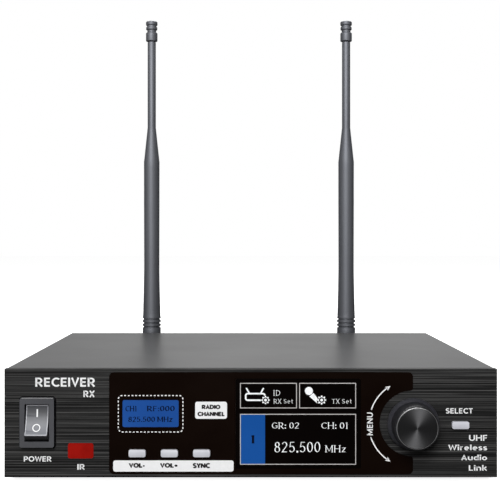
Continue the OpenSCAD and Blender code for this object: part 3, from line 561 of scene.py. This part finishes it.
class Print:
    """A printed layer on one surface: shapes are added in panel mm, then made into one mesh."""

    def __init__(self, thickness=INK_T):
        self.bm = bmesh.new()
        self.thickness = thickness

    def loops(self, loops):
        """Closed outlines, filled where an odd number of them lies outside each other."""
        curve = bpy.data.curves.new("scratch", "CURVE")
        curve.dimensions = "2D"
        curve.fill_mode = "BOTH"
        curve.extrude = self.thickness / 2
        for loop in loops:
            spline = curve.splines.new("POLY")
            spline.points.add(len(loop) - 1)
            for point, (x, z) in zip(spline.points, loop):
                point.co = (x, z, 0, 1)
            spline.use_cyclic_u = True
        mesh = curve_mesh(curve)
        self.bm.from_mesh(mesh)
        bpy.data.meshes.remove(mesh)

    def strip(self, left, right, closed=False):
        """A thin raised band between two edges, made of four-sided faces."""
        t = self.thickness / 2
        rows = [[self.bm.verts.new((x, z, h)) for x, z in edge] for edge in (left, right) for h in (t, -t)]
        top_l, low_l, top_r, low_r = rows
        count = len(left)
        for i in range(count if closed else count - 1):
            j = (i + 1) % count
            for quad in ((top_l[i], top_l[j], top_r[j], top_r[i]),
                         (low_l[i], low_r[i], low_r[j], low_l[j]),
                         (top_l[i], low_l[i], low_l[j], top_l[j]),
                         (top_r[i], top_r[j], low_r[j], low_r[i])):
                self.bm.faces.new(quad)
        if not closed:
            for i in (0, count - 1):
                self.bm.faces.new((top_l[i], top_r[i], low_r[i], low_l[i]))

    def stroke(self, points, width, closed=False, caps=True):
        """A line with mitred joins. The width is a number, or a pair (thin, thick) for a broad nib."""
        left, right = edges_of(points, width, closed)
        self.strip(left, right, closed)
        if caps and not closed:
            for x, z in (points[0], points[-1]):
                self.loops([arc(x, z, width / 2, 0, 345, 23)])

    def text(self, words, x0, x1, z0, z1, width=PEN, serif=False, turn=False, gap=None):
        """Words fitted to a box: x0..x1 across, z0..z1 upwards; turn writes them upwards."""
        pen, parts = 0.0, []
        gap = gap or (SERIF_GAP if serif else PLAIN_GAP)
        for letter in words:
            if letter == " ":
                pen += WORD_SPACE
                continue
            advance, strokes, feet, dots = GLYPHS[letter]
            for stroke in strokes:
                parts.append((width, [(x + pen, z) for x, z in stroke]))
            for x, z in dots:
                parts.append(("dot", [(x + pen, z)]))
            for x, z in feet if serif else ():
                z = min(max(z, SERIF_INSET), CAP_HEIGHT - SERIF_INSET)
                parts.append((SERIF_T, [(x + pen - SERIF_HALF, z), (x + pen + SERIF_HALF, z)]))
            pen += advance + gap
        bands = []
        for kind, line in parts:
            if kind == "dot":
                (x, z), r = line[0], SERIF_DOT_R if serif else PLAIN_DOT_R
                bands.append(([(x - r, z - r), (x - r, z + r)], [(x + r, z - r), (x + r, z + r)], False))
            else:
                closed = len(line) > 2 and line[0] == line[-1]
                line = line[:-1] if closed else line
                bands.append((*edges_of(line, kind, closed), closed))
        spots = [p for left, right, _ in bands for p in left + right]
        low_x, low_z = min(p[0] for p in spots), min(p[1] for p in spots)
        wide, high = max(p[0] for p in spots) - low_x, max(p[1] for p in spots) - low_z

        def fit(p):
            u, v = (p[0] - low_x) / wide, (p[1] - low_z) / high
            if turn:
                return x1 - v * (x1 - x0), z0 + u * (z1 - z0)
            return x0 + u * (x1 - x0), z0 + v * (z1 - z0)

        for left, right, closed in bands:
            self.strip([fit(p) for p in left], [fit(p) for p in right], closed)

    def finish(self, name, y, material, back=False):
        """Puts the layer on the plane at y, its face forward, or backward on the rear panel."""
        sign = 1 if back else -1
        for v in self.bm.verts:
            x, z = panel_point(v.co.x, v.co.y)
            v.co = Vector((-x if back else x, y + sign * (self.thickness / 2 * MM + v.co.z * MM), z))
        bmesh.ops.remove_doubles(self.bm, verts=self.bm.verts, dist=1e-8)
        bmesh.ops.recalc_face_normals(self.bm, faces=self.bm.faces)
        mesh = bpy.data.meshes.new(name)
        self.bm.to_mesh(mesh)
        self.bm.free()
        to_object(name, mesh, material, "receiver")


def arc(cx, cz, r, a0, a1, count=24):
    steps = [math.radians(a0 + (a1 - a0) * i / count) for i in range(count + 1)]
    return [(cx + r * math.cos(a), cz + r * math.sin(a)) for a in steps]


def rounded(x0, x1, z0, z1, r, count=6):
    return (arc(x1 - r, z1 - r, r, 0, 90, count) + arc(x0 + r, z1 - r, r, 90, 180, count)
            + arc(x0 + r, z0 + r, r, 180, 270, count) + arc(x1 - r, z0 + r, r, 270, 360, count))


NIB_SLANT = math.radians(20)
MITRE_FLOOR = 0.55  # keeps the joins of sharp corners short


def edges_of(points, width, closed):
    """Both edges of a line. A broad nib is held at a slant, so that upright strokes come out thick."""
    pts = [Vector(p) for p in points]
    count = len(pts)
    left, right = [], []
    for i, p in enumerate(pts):
        before = pts[i - 1] if closed or i > 0 else None
        after = pts[(i + 1) % count] if closed or i < count - 1 else None
        d0 = (p - before).normalized() if before is not None else (after - p).normalized()
        d1 = (after - p).normalized() if after is not None else d0
        n0, n1 = Vector((-d0.y, d0.x)), Vector((-d1.y, d1.x))
        middle = n0 + n1
        m = middle.normalized() if middle.length > 0.05 else n1
        if isinstance(width, tuple):
            way = math.atan2(d0.y + d1.y, d0.x + d1.x)
            h = (width[0] + (width[1] - width[0]) * math.sin(way - NIB_SLANT) ** 2) / 2
        else:
            h = width / 2
        k = h / max(MITRE_FLOOR, m.dot(n1))
        left.append(tuple(p + m * k))
        right.append(tuple(p - m * k))
    return left, right


def oval(cx, cz, rx, rz, a0=0, a1=360, count=18):
    steps = [math.radians(a0 + (a1 - a0) * i / count) for i in range(count + 1)]
    return [(round(cx + rx * math.cos(a), 4), round(cz + rz * math.sin(a), 4)) for a in steps]


def glyphs():
    """Letters as pen strokes on a cap height of 10: (advance, strokes, places of serifs, dots)."""
    stem = [(0.9, 0), (0.9, 10)]
    bowl = [(0.9, 9.15), (3.0, 9.15)] + oval(3.1, 6.7, 2.4, 2.45, 85, -85) + [(3.0, 4.25), (0.9, 4.25)]
    return {
        "A": (7.0, [[(0.6, 0), (3.5, 9.3), (6.4, 0)], [(1.5, 2.9), (5.5, 2.9)]], [(0.6, 0), (6.4, 0)], []),
        "B": (6.6, [stem, bowl, [(0.9, 4.25), (3.2, 4.25)] + oval(3.2, 2.55, 2.6, 1.7, 80, -80)
                    + [(0.9, 0.85)]], [], []),
        "C": (7.2, [oval(4.5, 5, 3.6, 4.2, 48, 312)], [], []),
        "D": (7.8, [[(0.9, 0.85), (0.9, 9.15), (3.2, 9.15)] + oval(3.2, 5, 3.7, 4.15, 85, -85)
                    + [(3.2, 0.85), (0.9, 0.85)]], [(0.9, 0), (0.9, 10)], []),
        "E": (5.6, [[(5.3, 0.85), (0.9, 0.85), (0.9, 9.15), (5.3, 9.15)], [(0.9, 5.1), (4.9, 5.1)]],
              [], []),
        "F": (5.5, [[(0.9, 0), (0.9, 9.15), (5.3, 9.15)], [(0.9, 4.9), (4.8, 4.9)]], [(0.9, 0)], []),
        "G": (7.8, [oval(4.5, 5, 3.6, 4.2, 48, 318) + [(7.1, 4.6), (4.9, 4.6)]], [], []),
        "H": (7.8, [stem, [(6.9, 0), (6.9, 10)], [(0.9, 5.1), (6.9, 5.1)]],
              [(0.9, 0), (0.9, 10), (6.9, 0), (6.9, 10)], []),
        "I": (1.8, [stem], [(0.9, 0), (0.9, 10)], []),
        "L": (5.4, [[(0.9, 10), (0.9, 0.85), (5.3, 0.85)]], [(0.9, 10)], []),
        "M": (9.4, [stem, [(8.5, 0), (8.5, 10)], [(1.0, 9.5), (4.7, 1.8), (8.4, 9.5)]],
              [(0.9, 0), (8.5, 0), (0.7, 10), (8.7, 10)], []),
        "N": (7.8, [stem, [(6.9, 0), (6.9, 10)], [(1.0, 9.4), (6.8, 0.6)]],
              [(0.9, 0), (0.7, 10), (6.9, 10)], []),
        "O": (8.6, [oval(4.3, 5, 3.5, 4.2)], [], []),
        "P": (6.0, [stem, bowl], [(0.9, 0)], []),
        "R": (6.8, [stem, bowl, [(3.0, 4.3), (6.1, 0.1)]], [(0.9, 0), (0.6, 10), (6.2, 0)], []),
        "S": (6.0, [oval(3.2, 7.15, 2.15, 2.05, 35, 235, 12) + oval(2.9, 2.85, 2.3, 2.05, 50, -150, 12)],
              [], []),
        "T": (6.2, [[(0.1, 9.15), (6.1, 9.15)], [(3.1, 0), (3.1, 9.15)]], [(3.1, 0)], []),
        "U": (7.6, [[(0.9, 10), (0.9, 4.0)] + oval(3.8, 3.8, 2.9, 2.95, 185, 355)
                    + [(6.7, 4.0), (6.7, 10)]],
              [(0.9, 10), (6.7, 10)], []),
        "V": (6.8, [[(0.5, 10), (3.4, 0.9), (6.3, 10)]], [(0.5, 10), (6.3, 10)], []),
        "W": (9.8, [[(0.4, 10), (2.7, 0.9), (4.9, 8.8), (7.1, 0.9), (9.4, 10)]],
              [(0.4, 10), (9.4, 10)], []),
        "X": (6.8, [[(0.6, 0), (6.2, 10)], [(0.6, 10), (6.2, 0)]],
              [(0.6, 0), (0.6, 10), (6.2, 0), (6.2, 10)], []),
        "Y": (6.4, [[(0.3, 10), (3.2, 4.6), (6.1, 10)], [(3.2, 4.8), (3.2, 0)]], [(3.2, 0)], []),
        "d": (6.2, [[(5.4, 0), (5.4, 10.4)], oval(3.0, 3.5, 2.2, 2.75)], [], []),
        "e": (5.9, [[(1.0, 3.7), (5.0, 3.7)] + oval(3.0, 3.5, 2.1, 2.75, 10, 305)], [], []),
        "i": (1.8, [[(0.9, 0), (0.9, 7)]], [], [(0.9, 9.2)]),
        "k": (5.8, [[(0.9, 0), (0.9, 10.4)], [(5.3, 7), (1.5, 3.4)], [(2.6, 4.2), (5.6, 0.1)]], [], []),
        "l": (1.8, [[(0.9, 0), (0.9, 10.4)]], [], []),
        "n": (6.2, [[(0.9, 0), (0.9, 7)], [(0.9, 4.4)] + oval(3.1, 4.1, 2.2, 2.3, 160, 0) + [(5.3, 0)]],
              [], []),
        "o": (6.2, [oval(3.1, 3.5, 2.3, 2.75)], [], []),
        "r": (3.9, [[(0.9, 0), (0.9, 7)], [(0.9, 4.0)] + oval(3.2, 3.8, 2.3, 2.7, 165, 90)], [], []),
        "s": (4.6, [oval(2.5, 5.0, 1.55, 1.35, 35, 235, 10) + oval(2.2, 2.1, 1.65, 1.35, 50, -150, 10)],
              [], []),
        "t": (3.8, [[(1.5, 9.0), (1.5, 2.3)] + oval(2.9, 2.2, 1.4, 1.5, 190, 290, 8),
                    [(0.2, 6.3), (3.6, 6.3)]],
              [], []),
        "u": (6.2, [[(0.9, 7), (0.9, 3.0)] + oval(3.1, 2.9, 2.2, 2.2, 185, 340), [(5.3, 0), (5.3, 7)]],
              [], []),
        "z": (5.2, [[(0.5, 6.3), (4.6, 6.3), (0.7, 0.7), (4.9, 0.7)]], [], []),
        "0": (5.8, [oval(2.9, 5, 2.3, 4.3)], [], []),
        "1": (3.6, [[(1.9, 0), (1.9, 9.7)], [(1.9, 9.4), (0.5, 8.5)]], [(1.9, 0)], []),
        "2": (5.8, [oval(2.8, 7.1, 2.1, 2.2, 165, -35) + [(0.6, 0.7), (5.2, 0.7)]], [], []),
        "5": (5.8, [[(5.0, 9.3), (1.5, 9.3), (1.0, 5.3)] + oval(2.7, 3.25, 2.3, 2.6, 115, -150)], [], []),
        "8": (5.8, [oval(2.9, 7.25, 1.8, 2.0), oval(2.9, 2.85, 2.2, 2.3)], [], []),
        ".": (1.8, [], [], [(0.9, 0.9)]),
        ":": (1.8, [], [], [(0.9, 1.0), (0.9, 5.6)]),
        "-": (3.2, [[(0.1, 3.6), (3.1, 3.6)]], [], []),
        "+": (5.6, [[(0.2, 4.2), (5.4, 4.2)], [(2.8, 1.6), (2.8, 6.8)]], [], []),
    }


FOOT_HALF, CREST_HALF = 0.29, 0.17  # half widths of a gear's tooth, as shares of its pitch


def gear(cx, cz, tip, root, teeth=8):
    """A toothed wheel's outline."""
    out = []
    step = 360 / teeth
    for i in range(teeth):
        a = i * step
        for r, da in ((root, -FOOT_HALF), (tip, -CREST_HALF), (tip, CREST_HALF), (root, FOOT_HALF)):
            t = math.radians(a + da * step)
            out.append((cx + r * math.cos(t), cz + r * math.sin(t)))
        out += arc(cx, cz, root, a + FOOT_HALF * step, a + (1 - FOOT_HALF) * step, 3)[1:-1]
    return out


GLYPHS = glyphs()
CAP_HEIGHT = 10
WORD_SPACE = 3.0
SERIF_HALF, SERIF_T, SERIF_INSET = 1.05, 0.55, 0.3
BOLD, MENU_PEN = 3.2, 1.6
# Thin and thick strokes of broad nibs
THIN_THICK = (0.42, 1.08)
LARGE_NIB = (0.42, 1.05)
SMALL_NIB = (0.58, 0.88)
DARK_NIB = (0.8, 1.9)


def write(layer, rows, *style, **more):
    """Writes rows of (words, x0, x1, z0, z1) on a layer in one style."""
    for row in rows:
        layer.text(*row, *style, **more)


# Legends on the bare panel
legends = Print()
write(legends, [
    ("POWER", -96.7, -84.9, 6.6, 9.1),
    ("IR", -73.9, -70.7, 3.2, 5.7),
    ("SELECT", 83.1, 94.6, 27.2, 29.5),
    ("RECEIVER", -91.8, -66.3, 38.4, 42.6),
    ("RX", -71.3, -66.5, 34.1, 37.1),
    ("UHF", 93.0, 100.7, 15.6, 18.1),
    ("Wireless", 84.1, 100.7, 11.4, 14.0),
    ("Audio", 89.6, 100.7, 7.3, 9.8),
    ("Link", 92.9, 100.7, 2.8, 5.3),
])
legends.finish("panel_legends", FRONT_Y, "ink_white")

# Plain generic names over the sockets; here x runs to the right as seen from behind
rear = Print()
write(rear, [
    ("BALANCED", 7.4, 20.6, 40.0, 42.0),
    ("UNBALANCED", -32.4, -15.6, 34.2, 36.2),
    ("ANT A", -64.0, -54.8, 37.2, 39.2),
    ("ANT B", 54.8, 64.0, 37.2, 39.2),
    ("DC IN", -90.4, -81.6, 34.2, 36.2),
])
rear.finish("rear_legends", REAR_Y, "ink_white", back=True)

# White strip with its dark legends, and the white label
strip = Print()
strip.loops([rounded(-58.6, -7.3, 2.5, 7.3, 1.0)])
strip.loops([rounded(-23.7, -10.1, 25.0, 32.3, 1.0)])
strip.finish("overlay_white_fields", OVERLAY_Y, "ink_white")
dark = Print()
write(dark, [
    ("VOL-", -52.0, -45.2, 3.95, 6.2),
    ("VOL+", -38.7, -31.2, 3.95, 6.2),
    ("SYNC", -24.7, -17.3, 3.95, 6.2),
    ("RADIO", -20.9, -12.9, 29.1, 31.25),
    ("CHANNEL", -22.7, -11.2, 26.1, 28.25),
], BOLD)
dark.finish("overlay_dark_legends", OVERLAY_Y - INK_T * MM, "ink_black")

# Dashed frame, MENU and its two arrows
frame_ink = Print()


def dashes(points, dash, pitch, width):
    """Cuts a closed path into dashes."""
    path = [Vector(p) for p in points] + [Vector(points[0])]
    total = sum((b - a).length for a, b in zip(path, path[1:]))
    count = round(total / pitch)
    pitch = total / count

    def at(s):
        s %= total
        for a, b in zip(path, path[1:]):
            d = (b - a).length
            if s <= d:
                return tuple(a + (b - a) * (s / d))
            s -= d
        return tuple(path[-1])

    for i in range(count):
        frame_ink.stroke([at(i * pitch + dash * k / 4) for k in range(5)], width, False, False)


dashes(rounded(-56.4, -28.9, 19.4, 34.9, 1.6, 10), dash=0.8, pitch=1.57, width=0.44)
frame_ink.text("MENU", 49.5, 52.0, 18.0, 27.7, MENU_PEN, turn=True, gap=1.5)
KX, KZ = KNOB_X / MM, (KNOB_Z - PANEL_Z) / MM


ARROW_W, ARROWHEAD_HALF_W = 0.5, 0.95
# How far before the arrow's tip the line ends, the head's barbs lie and its notch lies, in degrees
ARROW_END, ARROW_BARB, ARROW_NOTCH = 5, 6.4, 5.5


def menu_arrow(z_start, z_tip, x_start, x_tip):
    """An arc about the knob that ends in an arrowhead."""
    a0 = math.degrees(math.atan2(z_start - KZ, x_start - KX))
    a1 = math.degrees(math.atan2(z_tip - KZ, x_tip - KX))
    a0, a1 = a0 % 360, a1 % 360
    r = math.hypot(x_tip - KX, z_tip - KZ)
    turn = 1 if a1 > a0 else -1
    frame_ink.stroke(arc(KX, KZ, r, a0, a1 - turn * ARROW_END, 28), ARROW_W)

    def spot(radius, before_tip):
        at = a1 - turn * before_tip
        return arc(KX, KZ, radius, at, at, 1)[0]

    frame_ink.loops([[spot(r, 0), spot(r + ARROWHEAD_HALF_W, ARROW_BARB), spot(r, ARROW_NOTCH),
                      spot(r - ARROWHEAD_HALF_W, ARROW_BARB)]])


menu_arrow(29.2, 39.0, 50.9, 59.5)
menu_arrow(16.9, 6.8, 50.8, 59.5)
frame_ink.finish("overlay_white_legends", OVERLAY_Y, "ink_white")

# Channel display
channel = Print(PIXEL_T)
write(channel, [
    ("CH1", -53.4, -48.7, 28.1, 30.5),
    ("RF:000", -44.3, -32.4, 28.1, 30.5),
    ("825.500 MHz", -52.2, -33.2, 23.6, 25.9),
], DARK_NIB, True)
channel.finish("channel_display_characters", CHANNEL_Y, "lcd_dark")

# Main display
blue = Print(PIXEL_T)
blue.loops([rounded(-4.4, 6.1, 5.6, 26.9, 0.1, 2)])
blue.finish("main_display_blue_block", GLASS_Y, "lcd_blue")
one = Print(PIXEL_T)
one.text("1", 0.0, 1.6, 14.5, 18.0, DARK_NIB, True)
one.finish("main_display_block_digit", GLASS_Y - PIXEL_T * MM, "lcd_dark")
LINE_W = 0.32
OVER_GLASS_Y = GLASS_Y - 0.005 * MM
lines = Print(PIXEL_T)
for x0, x1, z0, z1 in ((-4.4, 19.5, 29.6, 40.1), (20.8, 44.7, 29.6, 40.1), (-4.4, 44.7, 5.6, 26.9)):
    lines.stroke([(x0, z0), (x1, z0), (x1, z1), (x0, z1)], LINE_W, closed=True)
lines.finish("main_display_lines", OVER_GLASS_Y, "lcd_lines")
words = Print(PIXEL_T)
write(words, [
    ("GR: 02", 9.0, 20.5, 20.7, 23.5),
    ("CH: 01", 30.1, 41.3, 20.7, 23.5),
], THIN_THICK, True)
words.text("825.500", 10.1, 29.6, 10.6, 15.1, LARGE_NIB, True)
words.text("MHz", 31.6, 40.6, 10.7, 13.7, THIN_THICK, True)
words.text("ID", 9.65, 12.5, 34.8, 37.2, SMALL_NIB, True, gap=2.4)
write(words, [
    ("RX Set", 9.65, 18.0, 31.4, 33.5),
    ("TX Set", 34.6, 43.0, 31.4, 33.5),
], SMALL_NIB, True, gap=1.6)


def gear_icon(cx, cz, tip, root, ring):
    """A gear with a ring inside it."""
    words.loops([gear(cx, cz, tip, root), arc(cx, cz, ring, 0, 355, 24), arc(cx, cz, 0.6, 0, 355, 20)])


# Receiver icon: a case outline with two aerials and a gear
case = [(4.0, 32.9)] + arc(-1.3, 33.75, 0.85, 270, 180, 5) + arc(-1.3, 34.85, 0.85, 180, 90, 5)
case += arc(5.2, 34.9, 0.8, 90, 20, 4)
words.stroke(case, 0.7)
words.stroke([(-1.8, 37.9), (-0.6, 35.9)], 0.64)
words.stroke([(5.35, 37.9), (4.25, 35.9)], 0.64)
gear_icon(6.28, 32.95, 1.77, 1.35, 1.15)
# Transmitter icon: a microphone and a gear
words.loops([arc(24.76, 36.83, 1.72, 0, 354, 28)])
words.loops([[(24.95, 34.55), (26.75, 36.0), (28.5, 33.6), (28.1, 32.7), (28.35, 31.5)]])
gear_icon(30.2, 32.97, 1.94, 1.42, 1.2)
words.finish("main_display_characters", OVER_GLASS_Y, "lcd_text")

# ---- Rocker marks ---------------------------------------------------------------------

SWING = math.radians(JOINTS["power_rocker_tilt"]["range_deg"][1])
ROCKER_R, ROCKER_DIP, TIP_PAST_HALF = 7.85, 1.1, math.radians(15)
PIVOT_Y = JOINTS["power_rocker_tilt"]["pos_m"][1]
EYE_ABOVE_SWITCH = EYE_Z - SWITCH_Z / MM
TIP_A = SWING / 2 + TIP_PAST_HALF
TIP = (ROCKER_R * math.cos(TIP_A), ROCKER_R * math.sin(TIP_A))
FACE_R = (TIP[0] ** 2 + ROCKER_DIP ** 2) / (2 * ROCKER_DIP)
VALLEY = TIP[1] - ROCKER_DIP


def on_rocker(x, up, lift):
    """A point of the rocker's hollow face, up mm above its middle as seen along the face."""
    forward = VALLEY + FACE_R - math.sqrt(FACE_R ** 2 - up ** 2) + lift
    tilt = SWING / 2
    y = -forward * math.cos(tilt) + up * math.sin(tilt)
    z = forward * math.sin(tilt) + up * math.cos(tilt)
    return Vector((SWITCH_X + x * MM, PIVOT_Y + y * MM, SWITCH_Z + z * MM))


def up_at(z):
    """How far along the face a mark lies that the standing viewer sees z mm above the switch's middle."""
    tilt = SWING / 2
    up = z
    for _ in range(12):
        forward = VALLEY + FACE_R - math.sqrt(FACE_R ** 2 - up ** 2)
        out = forward * math.cos(tilt) - up * math.sin(tilt) + (FRONT_Y - PIVOT_Y) / MM
        true_z = z + out * (EYE_ABOVE_SWITCH - z) / EYE_AWAY
        up = (true_z - forward * math.sin(tilt)) / math.cos(tilt)
    return up


LONGEST_EDGE = 0.7  # mm; longer ones are cut to follow the hollow
MARK_LIFT = MARK_T / 2


def on_rocker_face(name, outline_loops, material, seen):
    """Flat outlines laid on the hollow face. Heights are as seen from the front, or along the face."""
    mark = Print(MARK_T)
    mark.loops(outline_loops)
    bm = mark.bm
    bmesh.ops.triangulate(bm, faces=bm.faces)
    bmesh.ops.subdivide_edges(bm, edges=[e for e in bm.edges if e.calc_length() > LONGEST_EDGE],
                               cuts=5)
    for v in bm.verts:
        v.co = on_rocker(v.co.x, up_at(v.co.y) if seen else v.co.y, MARK_LIFT + v.co.z)
    bmesh.ops.recalc_face_normals(bm, faces=bm.faces)
    mesh = bpy.data.meshes.new(name)
    bm.to_mesh(mesh)
    bm.free()
    to_object(name, mesh, material, "power_rocker")


on_rocker_face("rocker_mark_on", [rounded(-0.3, 0.3, 2.25, 5.6, 0.1, 3)], "ink_white", True)
on_rocker_face("rocker_mark_off", [arc(0, -2.42, r, 0, 354, 36) for r in (1.68, 1.25)],
               "ink_white", True)
# The pale band round the rocker's face is a painted highlight on its rim.
FACE_HALF_W, FACE_HALF_H, RIM_BAND, SIDE_RIM_BAND = 4.6, TIP[0] - 0.15, 0.36, 0.2
rim_inner_x, rim_inner_z = FACE_HALF_W - SIDE_RIM_BAND, FACE_HALF_H - RIM_BAND
on_rocker_face("rocker_edge_line",
               [rounded(-FACE_HALF_W, FACE_HALF_W, -FACE_HALF_H, FACE_HALF_H, 0.25, 3),
                rounded(-rim_inner_x, rim_inner_x, -rim_inner_z, rim_inner_z, 0.15, 3)], "rocker_edge", False)

# Thin black ring round the switch's bezel, laid on the panel as a painted shadow line
shadow_ring = Print(SHADOW_RING_T)
RING_X, RING_Z = SWITCH_X / MM, (SWITCH_Z - PANEL_Z) / MM
RING_HALF_W, RING_HALF_H = (SWITCH_HIGH.x - SWITCH_LOW.x) / 2 / MM, (SWITCH_HIGH.z - SWITCH_LOW.z) / 2 / MM
RING_OUT, RING_IN, RING_CORNER_R = 0.55, 0.06, 0.9
shadow_ring.loops([rounded(RING_X - RING_HALF_W - m, RING_X + RING_HALF_W + m, RING_Z - RING_HALF_H - m, RING_Z + RING_HALF_H + m,
                    RING_CORNER_R + m) for m in (RING_OUT, RING_IN)])
shadow_ring.finish("power_switch_seal", FRONT_Y, "gasket")

# ---- Camera, light and floor -----------------------------------------------------------

camera = bpy.data.cameras.new("camera")
camera_obj = bpy.data.objects.new("camera", camera)
bpy.context.scene.collection.objects.link(camera_obj)
camera_obj.location = (EYE_X * MM, FRONT_Y - EYE_AWAY * MM, EYE_Z * MM)
camera_obj.rotation_euler = (math.radians(90), 0, 0)
camera.lens = 71.9
camera.sensor_width = 36
camera.shift_x = 0.0106
camera.shift_y = -0.0202
camera.clip_start, camera.clip_end = 0.01, 50
bpy.context.scene.camera = camera_obj
bpy.context.scene.view_settings.view_transform = "Standard"
bpy.context.scene.view_settings.look = "None"


def area_light(name, place, aim, size, power):
    """A rectangular lamp at a place, turned to a point."""
    light = bpy.data.lights.new(name, "AREA")
    light.shape = "RECTANGLE"
    light.size, light.size_y = size
    light.energy = power
    obj = bpy.data.objects.new(name, light)
    bpy.context.scene.collection.objects.link(obj)
    obj.location = place
    obj.rotation_euler = (Vector(aim) - Vector(place)).to_track_quat("-Z", "Y").to_euler()


area_light("key", (-0.28, -1.48, 0.95), (0, 0, 0.1), (0.75, 1.1), 36)
area_light("overhead", (0, 0.7, 1.45), (0, 0, 0), (1.2, 0.7), 20)


# The world's strength along each axis, from its negative end at 0 to its positive end at 1
WORLD_FIELDS = {
    "Y": ((0.0, 0.04), (0.6, 0.1), (0.92, 0.3), (0.97, 1.03)),
    "Z": ((0.3, 0.6), (0.5, 1.0), (1.0, 1.0)),
    "X": ((0.0, 0.15), (0.41, 0.70), (0.5, 1.0), (0.6, 0.9), (1.0, 0.35)),
}


def world_light():
    """White to the eye; to the object, bright behind and above and dimmer in front."""
    world = bpy.data.worlds.new("studio")
    bpy.context.scene.world = world
    world.use_nodes = True
    tree = world.node_tree
    tree.nodes.clear()
    new, link = tree.nodes.new, tree.links.new
    out = new("ShaderNodeOutputWorld")
    mixer = new("ShaderNodeMixShader")
    path = new("ShaderNodeLightPath")
    seen, lit = new("ShaderNodeBackground"), new("ShaderNodeBackground")
    seen.inputs["Color"].default_value = (1, 1, 1, 1)
    seen.inputs["Strength"].default_value = 1.0
    coord = new("ShaderNodeTexCoord")
    split = new("ShaderNodeSeparateXYZ")
    link(coord.outputs["Generated"], split.inputs["Vector"])
    ramps = []
    for axis, stops in WORLD_FIELDS.items():
        shift = new("ShaderNodeMath")
        shift.operation = "MULTIPLY_ADD"
        link(split.outputs[axis], shift.inputs[0])
        shift.inputs[1].default_value = 0.5
        shift.inputs[2].default_value = 0.5
        ramp = new("ShaderNodeValToRGB")
        set_stops(ramp.color_ramp, stops)
        link(shift.outputs["Value"], ramp.inputs["Fac"])
        ramps.append(ramp)
    product = ramps[0].outputs["Color"]
    for ramp in ramps[1:]:
        times = new("ShaderNodeMath")
        times.operation = "MULTIPLY"
        link(product, times.inputs[0])
        link(ramp.outputs["Color"], times.inputs[1])
        product = times.outputs["Value"]
    link(product, lit.inputs["Strength"])
    link(path.outputs["Is Camera Ray"], mixer.inputs["Fac"])
    link(lit.outputs["Background"], mixer.inputs[1])
    link(seen.outputs["Background"], mixer.inputs[2])
    link(mixer.outputs["Shader"], out.inputs["Surface"])


world_light()


FLOOR_HALF = 6.0


def studio_floor():
    """White to the eye, and a weak bounce to the object."""
    s = Shader("floor_white")
    grain = s.noise(30, 2)
    colour = s.between(grain, (0.80, 0.80, 0.80), (0.82, 0.82, 0.82))
    pale = s.n("ShaderNodeBsdfPrincipled", Base_Color=colour, Roughness=0.9, Specular_IOR_Level=0.0,
               Emission_Color=(1.0, 1.0, 1.0), Emission_Strength=0.92)
    bounce = s.n("ShaderNodeBsdfDiffuse", Color=(0.12, 0.12, 0.12))
    seen = s.n("ShaderNodeLightPath").outputs["Is Camera Ray"]
    both = s.n("ShaderNodeMixShader", i0=seen, i1=bounce.outputs["BSDF"], i2=pale.outputs["BSDF"])
    s.tree.links.new(both.outputs["Shader"], s.out.inputs["Surface"])
    mesh = bpy.data.meshes.new("floor")
    corners = [(x * FLOOR_HALF, y * FLOOR_HALF, 0) for x, y in ((-1, -1), (1, -1), (1, 1), (-1, 1))]
    mesh.from_pydata(corners, [], [(0, 1, 2, 3)])
    mesh.materials.append(s.material)
    floor = bpy.data.objects.new("floor", mesh)
    bpy.context.scene.collection.objects.link(floor)


studio_floor()
